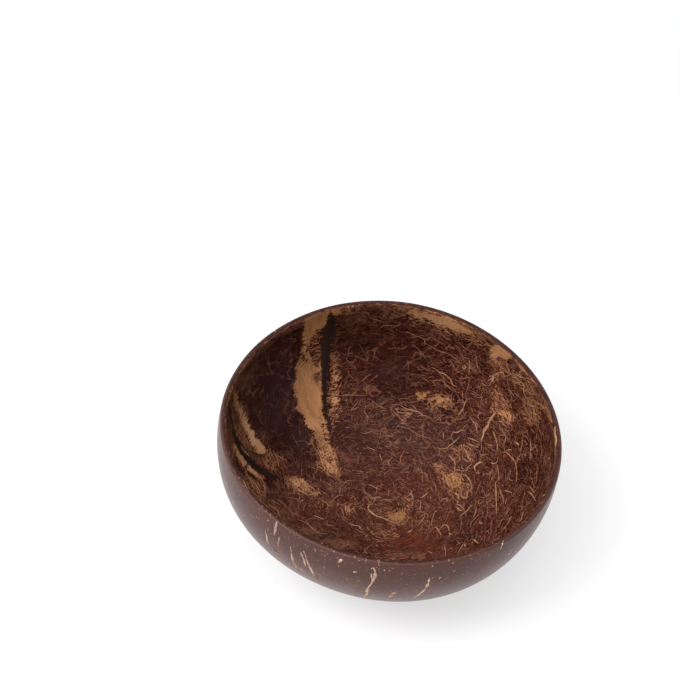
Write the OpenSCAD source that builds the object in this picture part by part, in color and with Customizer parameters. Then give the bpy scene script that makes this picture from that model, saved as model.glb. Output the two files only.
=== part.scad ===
// A bowl made from half of a coconut's hard shell: sanded outside, cut by hand
// at the rim, and sanded flat below so that it stands. It rests on the plane
// z = 0, with the middle of its outline on the Z axis.

/* [Shell] */
// Mean width of the shell outside, at its widest
belly_d = 130; // [110:1:150]
// Height of the widest place above the table
belly_h = 47.5; // [40:0.5:56]
// Mean height of the cut rim above the table
rim_h = 54.7; // [48:0.1:66]
// Width of the flat sanded under the bowl
base_d = 38; // [20:1:60]
// Thickness of the wall at the rim
wall_rim = 2.5; // [1.8:0.1:4]
// Thickness that the shell grew to at its end, before the base was sanded flat
wall_end = 5.2; // [4.2:0.1:7]

/* [Natural shape] */
// How far the oval outline stands out along its long way
oval_r = 1.9; // [0:0.1:4]
// Which way the oval is long, turned from +X
oval_turn = 102; // [0:1:180]
// How far the three grown ribs stand out
rib_r = 0.4; // [0:0.1:1.5]
// Where the first of the three ribs lies, turned from +X
rib_turn = 97; // [0:1:120]
// How far the outline's four corners stand out
corner_r = 0.6; // [0:0.1:1.5]
// Where the first corner lies, turned from +X
corner_turn = 20; // [0:1:90]

/* [Cut rim] */
// How much higher than its mean the rim stands on its high side
slope_rise = 4.2; // [0:0.1:6]
// Which side is high, turned from +X
slope_turn = 182; // [0:1:360]
// Rise of the two long waves that the saw left in the rim
two_wave_rise = 0.9; // [0:0.1:1.5]
// Where the first of the two waves is high, turned from +X
two_wave_turn = 52; // [0:1:180]
// Rise of the three shorter waves in the rim
three_wave_rise = 1.2; // [0:0.1:1.5]
// Where the first of the three waves is high, turned from +X
three_wave_turn = 63; // [0:1:120]
// Radius of the rim's sanded edges, inside and outside
rim_round = 1; // [0.3:0.1:1.2]
// Width of the worn edge round the base
base_edge = 0.6; // [0.2:0.1:1.5]

/* [Seams inside] */
// Depth of the channel along each of the shell's inner seams
seam_depth = 0.6; // [0:0.1:1]
// Width of that channel
seam_w = 5; // [3:0.5:9]
// Where the back seam meets the rim, turned from +X
back_seam_turn = 110; // [60:1:140]
// How far the back seam has turned where it fades
back_seam_lean = 18; // [-20:1:20]
// Where the left seam meets the rim, turned from +X
left_seam_turn = 173; // [150:1:230]
// How far the left seam has turned where it fades
left_seam_lean = -3; // [-20:1:20]

/* [Hidden] */

// Count of meridians round the bowl, and of rings up each wall and round each rim edge
meridians = 96;
outer_rings = 14;
inner_rings = 16;
edge_rings = 4;

// Each row is the count of swells round the outline, how far they stand out, and where the first lies
growth = [[2, oval_r, oval_turn], [3, rib_r, rib_turn], [4, corner_r, corner_turn]];
rim_waves = [[1, slope_rise, slope_turn], [2, two_wave_rise, two_wave_turn], [3, three_wave_rise, three_wave_turn]];

// Each row is a seam's place at the rim and its lean, in degrees
seams = [[back_seam_turn, back_seam_lean], [left_seam_turn, left_seam_lean]];
// Shares of the way from the rim to the middle of the floor: where a channel
// has its full depth, where it begins to fade and where it ends
seam_start_share = 0.08;
seam_fade_share = 0.4;
seam_end_share = 0.62;

// The meridians crowd together near a seam, over this many degrees each side,
// to this share of their usual spacing, and they follow its lean over a wider band
crowd_band = 25;
crowd_share = 0.3;
lean_band = 40;

// The outside is a spheroid: its half height follows from the base's width
belly_r = belly_d / 2;
base_r = base_d / 2;
half_h = belly_h / sqrt(1 - pow(base_r / belly_r, 2));
base_polar = asin(base_r / belly_r);

// A sum of even swells round the bowl
function swell(rows, turn) = [for (row = rows) row[1] * cos(row[0] * (turn - row[2]))] * [for (row = rows) 1];

// Radius of the widest place and height of the rim, in each direction
function belly_at(turn) = belly_r + swell(growth, turn);
function rim_at(turn) = rim_h + swell(rim_waves, turn);

// The middle of the outline, which goes on the Z axis
outline = [for (turn = [0:2:358]) belly_at(turn) * [cos(turn), sin(turn)]];
outline_x = [for (p = outline) p[0]];
outline_y = [for (p = outline) p[1]];
middle = [max(outline_x) + min(outline_x), max(outline_y) + min(outline_y)] / 2;

// Smooth step from 0 to 1, a hump from 1 to 0, and an angle taken the short way round
function step(x) = let (t = min(1, max(0, x))) t * t * (3 - 2 * t);
function hump(x) = abs(x) < 1 ? pow(1 - x * x, 2) : 0;
function short_way(turn) = turn - 360 * round(turn / 360);

// Direction of a seam, a share of the way down from the rim
function seam_at(seam, down) = seam[0] + seam[1] * pow(min(1, down / seam_end_share), 2);

// Depth of the seam channels at a place on the inner wall
function channel(turn, down, radius) =
    let (full = step(down / seam_start_share)
            * (1 - step((down - seam_fade_share) / (seam_end_share - seam_fade_share))))
    seam_depth * full * max([for (seam = seams)
        let (off = radius * short_way(turn - seam_at(seam, down)) * PI / 180)
        hump(2 * off / seam_w)]);

// Direction of a meridian at the rim, crowded towards the seams
function meridian(i) =
    let (even = 360 * i / meridians)
    even - (1 - crowd_share) * [for (seam = seams)
        let (t = short_way(even - seam[0]) / crowd_band) crowd_band * t * hump(t)] * [for (seam = seams) 1];

// Direction of the same meridian on the inner wall, where it leans with the seams
function inner_meridian(i, down) =
    let (turn = meridian(i))
    turn + [for (seam = seams)
        (seam_at(seam, down) - seam[0]) * hump(short_way(turn - seam[0]) / lean_band)] * [for (seam = seams) 1];

// Polar angle at which the wall ends below the rim's rounding, 0 at the shell's lower end
function rim_polar(turn) = acos((belly_h - rim_at(turn) + rim_round) / half_h);

// Point of the shell: inwards is the depth below the outer surface, upwards is
// along the wall from the polar angle
function place(turn, polar, inwards, upwards) =
    let (
        long = belly_at(turn),
        size = norm([long * cos(polar), half_h * sin(polar)]),
        up = [long * cos(polar), half_h * sin(polar)] / size,
        out = [up[1], -up[0]],
        p = [long * sin(polar), belly_h - half_h * cos(polar)] - inwards * out + upwards * up
    )
    [p[0] * cos(turn) - middle[0], p[0] * sin(turn) - middle[1], p[1]];

// Thickness of the wall a share of the way down from the rim
function wall_at(down) = wall_rim + (wall_end - wall_rim) * pow(down, 1.5);

// Outer wall, from just above the base's worn edge to the rim
outer_wall = [for (k = [1:outer_rings]) [for (i = [0:meridians - 1])
    let (turn = meridian(i), low = base_polar + atan(base_edge / half_h))
    place(turn, low + (rim_polar(turn) - low) * (k - 1) / (outer_rings - 1), 0, 0)]];

// Sanded edges of the rim, from outside over the top to the inside
edge_r = min(rim_round, wall_rim / 2);
outer_edge = [for (k = [1:edge_rings]) 90 * k / edge_rings];
rim = concat(
    [for (a = outer_edge) [for (i = [0:meridians - 1])
        place(meridian(i), rim_polar(meridian(i)), edge_r * (1 - cos(a)), edge_r * sin(a))]],
    [for (a = outer_edge) [for (i = [0:meridians - 1])
        place(meridian(i), rim_polar(meridian(i)), wall_rim - edge_r * (1 - sin(a)), edge_r * cos(a))]]);

// Inner wall, from the rim down to the ring round the middle of the floor
inner_wall = [for (k = [1:inner_rings]) [for (i = [0:meridians - 1])
    let (
        down = k / (inner_rings + 1),
        turn = inner_meridian(i, down),
        polar = rim_polar(turn) * (1 - down),
        wall = wall_at(down)
    )
    place(turn, polar, wall + channel(turn, down, belly_at(turn) * sin(polar) - wall), 0)]];

// Flat base, one ring inside its worn edge
base_ring = [for (i = [0:meridians - 1])
    let (turn = meridian(i), r = (base_r - base_edge) * belly_at(turn) / belly_r)
    [r * cos(turn) - middle[0], r * sin(turn) - middle[1], 0]];

rings = concat([base_ring], outer_wall, rim, inner_wall);
base_middle = [-middle[0], -middle[1], 0];
floor_middle = [-middle[0], -middle[1], belly_h - half_h + wall_end];
last = len(rings) - 1;

function index(k, i) = k * meridians + i % meridians;

// Two triangles for each four points of neighbouring rings, and a fan at each end
bands = [for (k = [0:last - 1]) for (i = [0:meridians - 1]) each [
    [index(k, i), index(k + 1, i), index(k + 1, i + 1)],
    [index(k, i), index(k + 1, i + 1), index(k, i + 1)]]];
base_fan = [for (i = [0:meridians - 1]) [len(rings) * meridians, index(0, i), index(0, i + 1)]];
floor_fan = [for (i = [0:meridians - 1]) [len(rings) * meridians + 1, index(last, i + 1), index(last, i)]];

module shell() {
    color("saddlebrown")
        polyhedron(
            points = concat([for (ring = rings) each ring], [base_middle, floor_middle]),
            faces = concat(bands, base_fan, floor_fan),
            convexity = 6);
}

shell();
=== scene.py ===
"""A bowl made from half of a coconut's shell: its skin, its grain and the strands grown into it."""
import math
import random
from functools import partial
from types import SimpleNamespace

import bmesh
import bpy
import numpy as np
from mathutils import Matrix, Vector, noise
from mathutils.bvhtree import BVHTree


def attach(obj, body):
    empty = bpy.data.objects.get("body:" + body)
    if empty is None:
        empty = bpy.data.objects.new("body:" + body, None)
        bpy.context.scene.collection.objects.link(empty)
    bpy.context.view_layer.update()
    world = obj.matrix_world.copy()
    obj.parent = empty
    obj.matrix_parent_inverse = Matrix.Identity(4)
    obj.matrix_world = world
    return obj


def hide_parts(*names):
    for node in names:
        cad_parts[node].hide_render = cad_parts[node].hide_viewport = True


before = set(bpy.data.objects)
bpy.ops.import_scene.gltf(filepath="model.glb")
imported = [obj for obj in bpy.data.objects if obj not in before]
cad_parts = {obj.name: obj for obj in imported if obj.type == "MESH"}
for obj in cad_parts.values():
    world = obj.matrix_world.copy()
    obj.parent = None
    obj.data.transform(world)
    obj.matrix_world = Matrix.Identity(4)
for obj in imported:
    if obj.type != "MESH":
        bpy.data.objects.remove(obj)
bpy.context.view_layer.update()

bl_info = {
    "name": "Coconut shell bowl",
    "version": (1, 0, 0),
    "blender": (4, 5, 0),
    "location": "View3D > Sidebar > Bowl",
    "description": "Dresses the packed bowl with its natural surface",
    "category": "Object",
}

MM = 0.001

# Width of the photograph in pixels, and of the camera's sensor in millimetres
FRAME_PIXELS = 680
SENSOR = 36.0

# The shell's own shape, as in its drawing: height of the widest place, half
# height of the spheroid, mean radius of the outline and middle of the outline
BELLY_HEIGHT = 47.5 * MM
HALF_HEIGHT = 49.67 * MM
BELLY_RADIUS = 65 * MM
OUTLINE_MIDDLE = Vector((0.13 * MM, 0.39 * MM))

# Solid tan bands and patches, outlined by pixels of the photograph
TAN_PATCHES = {
    "back_seam_band": [(303, 317), (312, 311.5), (322, 308.5), (331, 307), (331, 312), (328, 317),
                       (326, 323), (324, 327.5), (316.5, 332), (309.5, 339.5), (308.5, 350),
                       (309.5, 358), (317, 361), (321.5, 364), (322, 385), (322, 412), (325, 418.5),
                       (326.5, 429), (318, 432), (312, 431), (306, 424.5), (304, 417), (296.5, 408),
                       (294.5, 397), (295, 385), (296, 372), (297.5, 363), (300.5, 356), (303, 345),
                       (304, 330)],
    "back_seam_cap": [(330, 307), (340, 306.5), (340, 312), (335, 317), (331, 314)],
    "left_seam_band": [(233, 392), (236, 391.5), (239, 400), (241, 408), (245.5, 415.5),
                       (250.5, 425.5), (255.5, 434.5), (259.5, 439.5), (263.5, 445.5), (266, 451),
                       (264, 454.5), (261, 454), (257.5, 451), (255.5, 447.5), (252, 445),
                       (248.5, 438.5), (247, 433.5), (244, 427), (240.5, 422), (238, 413),
                       (235, 404)],
    "left_seam_tail": [(289, 477.5), (297, 477.5), (305, 481), (311, 487), (310, 492), (303, 490),
                       (295, 485)],
    "back_seam_comb": [(334, 364), (338, 363), (337.5, 376), (336, 388), (337.5, 402), (336, 416),
                       (333.5, 417), (333, 400), (333.5, 385), (333.5, 372)],
    "back_seam_tail": [(313, 430), (327, 430), (328.5, 440), (331, 450), (336, 462), (337, 472),
                       (332, 474), (326, 466), (320, 454), (317, 443)],
    "left_seam_edge": [(231.5, 443), (234.5, 443.5), (240, 452.5), (243, 457), (248, 462),
                       (252, 467), (256, 471), (260, 475.5), (258, 477.5), (253, 474), (248, 470),
                       (243.5, 465), (240, 459), (236, 453)],
    "rim_patch": [(409, 309), (418.5, 311), (431.5, 313), (441, 315.5), (450.5, 319), (460, 324),
                  (469.5, 330), (477, 336), (466.5, 333), (460, 332), (454, 329.5), (444, 326),
                  (434.5, 321), (425.5, 318.5), (415.5, 316), (409, 312)],
    "right_patch": [(491, 348), (496, 345.5), (502, 345), (508, 349), (513, 354), (511, 359),
                    (506, 361), (503, 359), (499, 357), (496, 358), (495, 362), (493, 359),
                    (491, 353)],
    "right_fleck": [(519.5, 365), (524, 366), (529, 371), (526, 374), (522, 370)],
    "right_blotch": [(502, 409.5), (511, 413), (511.5, 418), (508.5, 419.5), (502, 417.5),
                     (498.5, 414)],
    "right_edge": [(544.5, 406), (548, 408), (551, 414), (553, 420), (550, 421), (547, 414)],
    "middle_spot": [(417.5, 393), (422, 392.5), (425.5, 396), (424, 399.5), (419, 399)],
    "middle_star": [(431, 396), (437, 397), (440, 394), (443, 398), (449, 399), (445, 402),
                    (446, 406.5), (440, 403), (434, 406), (435, 401)],
    "low_patch": [(446.5, 473.5), (455, 474.5), (459.5, 478.5), (461, 483), (461, 486.5),
                  (457, 486), (451.5, 487.5), (449.5, 486), (447, 482), (446, 477.5)],
    "front_patch": [(385.5, 512.5), (391, 514), (397, 513.5), (400.5, 511.5), (404.5, 513),
                    (405.5, 516), (402.5, 519), (397.5, 521), (394, 520.5), (390, 517)],
}

# The worn ones among those are ragged all over: no place in them counts as farther inside the edge
# than this, in millimetres
WORN_DEPTH = {
    "back_seam_comb": -0.15, "back_seam_tail": 0.12, "left_seam_tail": 0.25, "left_seam_edge": 0.25,
    "right_fleck": 0.25, "right_blotch": 0.25, "right_edge": 0.25, "middle_spot": 0.25,
    "middle_star": 0.25, "low_patch": 0.25, "front_patch": 0.1,
}

# Dark pits in the tan, each a short stroke between two pixels with its width in pixels
TAN_PITS = [[((317.5, 373), 3), ((317, 378.5), 5)], [((316.5, 332), 3), ((320.5, 340), 4)],
            [((313, 346), 4), ((314, 356), 6)], [((318, 430), 2), ((325, 437), 2.5)],
            [((322, 438), 2), ((318, 447), 2)],
            [((302, 352), 1.5), ((304.5, 358), 2), ((309, 363), 2)],
            [((306, 344), 1.5), ((307.5, 352), 2)], [((313, 361), 2), ((318, 366), 1.5)],
            [((304, 336), 1.5), ((306, 341), 1.5)], [((299, 363), 1.5), ((302, 366), 1.5)],
            [((319.5, 418), 2), ((320, 420), 2)], [((322, 425), 2), ((323.5, 428.5), 2)],
            [((321, 433), 2), ((322, 434.5), 2)], [((295, 391), 1.5), ((295.5, 396), 1.5)],
            [((296, 402), 1.5), ((295.5, 407), 1.5)], [((451, 478), 2), ((452.5, 479.5), 2)],
            [((456.5, 481), 2), ((457, 483), 2)], [((453.5, 485), 2), ((456, 484.5), 2)],
            [((324, 449), 2), ((327, 453), 2.5)], [((328, 458), 2.5), ((330, 463), 2)],
            [((333, 466), 2), ((334, 469), 1.5)], [((299, 482), 1.5), ((303, 485), 1.5)]]

# Patches of loose tan fibres with the dark shell between them
LOOSE_PATCHES = {
    "back_seam_tail": [(312, 436), (323, 437), (327, 446), (333, 454), (339, 468), (337, 478),
                       (329, 474), (322, 464), (316, 451)],
    "back_seam_comb": [(332, 350), (338, 352), (339.5, 372), (338, 385), (339.5, 402), (337, 416),
                       (333, 425), (329, 420), (328.5, 408), (329, 395), (330, 375)],
    "back_seam_pits": [(309, 340), (318, 332), (322, 345), (321, 364), (310, 362)],
    "left_seam_top": [(231.5, 390), (236, 390), (239, 399.5), (241, 408), (236, 410), (232, 406)],
    "left_seam_flecks": [(233, 424), (241, 424), (249, 436), (254, 448), (246, 448), (238, 437)],
    "left_seam_end": [(264, 448.5), (270, 450), (277.5, 456), (277.5, 468), (272, 470), (264, 462)],
    "left_seam_edge": [(238, 452), (243, 456), (249, 462), (257, 470), (264, 477), (264, 499),
                       (254, 493), (247, 478), (241, 466)],
    "left_seam_tail": [(287.5, 478), (300, 479), (312, 483), (320, 490), (318, 495), (304, 493),
                       (291, 487)],
    "rim_top": [(340, 306), (358, 304), (357, 310), (343, 313)],
    "rim_band": [(394, 305), (405, 306), (420, 307), (432, 309), (446, 313), (460, 318), (472, 326),
                 (483, 336), (487, 344.5), (475, 341), (460, 336.5), (454, 333), (444, 330),
                 (438.5, 328.5), (434.5, 325), (425.5, 322.5), (415.5, 321.5), (409, 315),
                 (394, 311)],
    "right_curls": [(524, 400), (536, 400), (543, 410), (539, 420), (527, 422)],
    "right_fan": [(511, 371), (524, 378), (534, 384), (538, 398), (528, 396), (518, 386)],
    "right_spot": [(489, 357), (505, 357), (509, 366), (506, 377), (500, 378), (494, 368)],
    "right_feather": [(495, 387.5), (497.5, 394), (496, 399), (505.5, 401), (509, 408), (513, 417),
                      (510, 422), (502, 421), (498, 412), (494, 409), (492, 396)],
    "middle_blotch": [(429, 394), (449, 394), (450, 406.5), (441, 408), (431, 408)],
    "middle_red": [(399.5, 411), (406, 410), (411, 414), (408, 418.5), (402, 417)],
    "low_right": [(452.5, 448), (470, 447.5), (471.5, 458), (466, 461.5), (455, 460)],
    "low_patch": [(436, 466), (446, 469), (458, 471), (464, 478), (468, 488), (466, 498),
                  (458, 498), (452, 492), (444, 488)],
    "front_patch": [(383, 510), (393, 511), (406, 508), (410, 515), (404, 521), (394, 523),
                    (386, 518)],
    "front_spot": [(343, 505), (352, 504.5), (352, 512), (346, 514.5)],
    "front_streaks": [(371, 529.5), (390, 529.5), (394, 535), (376, 543.5)],
}

# The dark seams of the inside and the dark line inside the front rim, which is painted shadow, as
# middle lines by pixel, with their widths in pixels
BLACK_SEAMS_AND_RIM_SHADOW = {
    "back": [((330.5, 316), 1), ((331.5, 322), 9), ((330, 330), 12.5), ((326.5, 344), 9.5),
             ((325, 354), 10), ((325, 364), 8), ((324.5, 376), 5.5), ((324.5, 390), 5),
             ((324.5, 400), 4.5), ((326, 409), 3.5), ((328, 415.5), 3), ((329, 425.5), 2.5),
             ((330, 434.5), 2)],
    "left": [((229, 402), 1), ((230.5, 415.5), 1.5), ((232.5, 428.5), 2), ((237, 441), 4.5),
             ((241.5, 450.5), 6), ((248.5, 459.5), 6), ((255.5, 466.5), 6), ((263.5, 472.5), 6),
             ((271, 475), 5), ((277.5, 477.5), 3)],
    "left_pit": [((247, 472), 2), ((252, 476), 3), ((256, 479), 2)],
    "front_shadow_left": [((250, 497), 1), ((263, 500.5), 1.5), ((269, 505.5), 2), ((280.5, 514.5), 2),
                   ((289.5, 522.5), 2), ((297, 528), 2.5), ((304, 534), 2.5), ((314, 537.5), 2),
                   ((323.5, 542), 2), ((333, 546), 1.5)],
    "front_shadow_right": [((430, 559.5), 1.5), ((441, 556), 2), ((464.5, 551.5), 2.5),
                    ((472.5, 549), 2.5), ((482.5, 544.5), 2), ((490, 540), 2), ((499.5, 536.5), 2),
                    ((512.5, 527.5), 2), ((520, 523), 1)],
}

# The front lines of painted shadow lie above this height
FRONT_SHADOW_FOOT = 46 * MM

# Width of the brown strip along the rim, in millimetres
EDGE_STRIP = 4.5

# Directions in which the rim's height is taken
RIM_STEPS = 72

# Distances to the edge of a mark are kept up to this many millimetres
MARK_LIMIT = 8

# A place's side is 0 on the outside, a half on the rim's top and 1 on the inside. The inside's
# zones start at the first, and solid tan starts at the second, where the rim's rounding ends
INNER_SIDE = 0.6
TAN_SIDE = 0.94

# Liveliness of the inside away from the lively and the quiet places: 0 is without fibres, 1 is full
BASE_LIVELY = 0.55

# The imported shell's points that are nearer than this are one, and its triangles are paired where
# their planes and their corners differ by less than these angles
MERGE_DISTANCE = 0.001 * MM
JOIN_FACE_ANGLE = math.radians(40)
JOIN_SHAPE_ANGLE = math.radians(50)

# Where the shell is reddish and where it is almost black: middle, reach across and down, strength.
# The reddish places are partly the shell's own red-brown and partly painted light, a redder colour
# where the right wall and the front of the inside are lit
WARM_AND_LIT_PLACES = [((278, 508), (22, 14), 0.6), ((252, 488), (12, 14), 0.5),
               ((515, 420), (60, 90), 0.4), ((425, 540), (64, 20), 1.0),
               ((305, 526), (36, 14), 0.9), ((462, 455), (14, 12), 0.9),
               ((396, 520), (46, 24), 0.7), ((500, 500), (50, 40), 0.4),
               ((370, 536), (34, 12), 0.9), ((280, 466), (18, 12), 0.6),
               ((325, 460), (14, 20), 0.6), ((330, 306), (50, 5), 0.6), ((416, 543), (18, 12), 1.0),
               ((307, 525), (18, 10), 1.0), ((253, 360), (6, 7), 0.7), ((420, 497), (54, 26), 0.75),
               ((322, 512), (46, 26), 0.85)]
# The almost black places are partly dark shell and partly painted shade, on the left and back walls of the
# inside, which lie in shade
DARK_AND_SHADED_PLACES = [((481, 453), (12, 8), 0.9), ((526, 462), (10, 14), 0.8), ((498, 427), (6, 8), 0.8),
               ((391, 521), (9, 5), 0.4), ((345, 402), (8, 22), 0.5), ((531, 450), (12, 14), 0.5),
               ((371, 405), (10, 10), 0.5), ((464, 538), (28, 9), 1.0), ((471, 520), (13, 13), 0.8),
               ((474, 487), (8, 9), 0.6), ((526, 441), (13, 13), 0.8), ((331, 362), (5, 14), 0.5),
               ((475, 454), (8, 8), 0.8), ((490, 450), (9, 7), 0.6), ((524, 466), (8, 12), 0.9),
               ((497, 422), (8, 7), 0.7), ((460, 396), (8, 9), 0.7), ((541, 474), (8, 20), 0.5),
               ((513, 432), (10, 14), 0.4), ((510, 395), (7, 14), 0.5), ((275, 385), (34, 62), 0.7),
               ((300, 445), (22, 26), 0.6), ((272, 490), (12, 16), 0.8),
               ((392, 362), (30, 16), 0.55), ((465, 345), (14, 10), 0.8),
               ((520, 470), (12, 12), 0.7), ((345, 345), (20, 24), 0.5),
               ((470, 440), (14, 20), 0.4), ((536, 430), (8, 24), 0.5), ((378, 345), (34, 20), 0.5),
               ((395, 385), (40, 16), 0.3), ((348, 545), (26, 8), 0.5)]

# Where the inside is a paler brown, beside the rim and in clouds. Along the inside's left edge the
# paler brown is partly painted sheen, a lighter colour for the gloss that the wall catches there
BROWN_AND_SHEEN_PLACES = [((229, 426), (11, 44), 0.7), ((246, 378), (14, 16), 0.5),
                ((391, 315), (16, 8), 0.6), ((353, 315), (12, 8), 0.6), ((226, 415), (6, 36), 0.95),
                ((229, 455), (8, 22), 0.95), ((241, 480), (12, 14), 0.5),
                ((257, 499), (14, 9), 0.55), ((280, 513), (22, 12), 0.8),
                ((335, 545), (26, 6), 0.8), ((233, 380), (8, 18), 0.7), ((400, 556), (30, 5), 0.6),
                ((549, 470), (5, 30), 0.6), ((306, 530), (18, 8), 0.7),
                ((243, 440), (12, 34), 0.55), ((252, 462), (14, 12), 0.6),
                ((262, 438), (10, 12), 0.5), ((347, 461), (14, 12), 0.6),
                ((332, 486), (14, 10), 0.55), ((281, 496), (12, 8), 0.5), ((318, 370), (8, 24), 0.4)]

# Where fibres are dense, where they are few, where the tan is paler, where fibres are dim and where
# they run down the wall. The paler tan is partly painted light that lifts the tan of the shaded left
# wall, and the dim places are partly painted shade
LIVELY_PLACES = [((505, 420), (60, 120), 0.4), ((350, 392), (20, 20), 0.35),
                 ((400, 515), (60, 30), 0.25), ((328, 465), (18, 20), 0.3),
                 ((300, 485), (24, 12), 0.4), ((276, 462), (20, 12), 0.35)]
QUIET_PLACES = [((526, 441), (12, 13), 0.4), ((471, 520), (13, 12), 0.4),
                ((455, 538), (16, 8), 0.4), ((272, 390), (40, 66), 0.55),
                ((300, 440), (24, 28), 0.45), ((272, 490), (12, 14), 0.5),
                ((390, 370), (30, 18), 0.35), ((522, 470), (10, 12), 0.4),
                ((416, 543), (24, 10), 0.5), ((380, 335), (60, 26), 0.12),
                ((350, 430), (20, 30), 0.2)]
PALE_AND_LIT_PLACES = [((311, 424), (9, 9), 0.35), ((253, 430), (12, 28), 1.0), ((249, 464), (12, 14), 0.8),
               ((336, 385), (6, 40), 0.4), ((300, 485), (16, 10), 0.5),
               ((500, 354), (16, 10), 0.25), ((455, 322), (46, 14), 0.4),
               ((328, 458), (12, 18), 0.4)]
# The dim places darken fibres and tan: partly dimmer fibres, partly painted shade on the back and left walls
# of the inside, which lie in shade
DIM_AND_SHADED_PLACES = [((375, 350), (58, 40), 1.0), ((395, 388), (50, 16), 0.9),
              ((430, 440), (40, 22), 0.35), ((515, 480), (36, 24), 0.25),
              ((272, 385), (42, 72), 0.6), ((438, 400), (14, 10), 0.5), ((453, 481), (14, 12), 0.4),
              ((380, 536), (20, 10), 0.6), ((462, 454), (12, 10), 0.5), ((405, 414), (8, 6), 0.5),
              ((284, 550), (30, 24), 0.5), ((276, 529), (9, 16), 0.6), ((306, 562), (14, 22), 0.35),
              ((373, 577), (9, 9), 0.25), ((336, 361), (8, 12), 0.5), ((396, 517), (16, 10), 0.6),
              ((308, 361), (14, 16), 0.8), ((319, 442), (12, 14), 0.6), ((315, 377), (7, 9), 0.8),
              ((311, 388), (8, 8), 0.3), ((466, 492), (12, 10), 0.5)]
STREAM_PLACES = [((328, 460), (16, 26), 1.0), ((303, 485), (26, 12), 0.8),
                 ((255, 480), (16, 20), 0.9), ((276, 460), (18, 12), 0.6),
                 ((248, 436), (12, 20), 1.0)]

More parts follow.
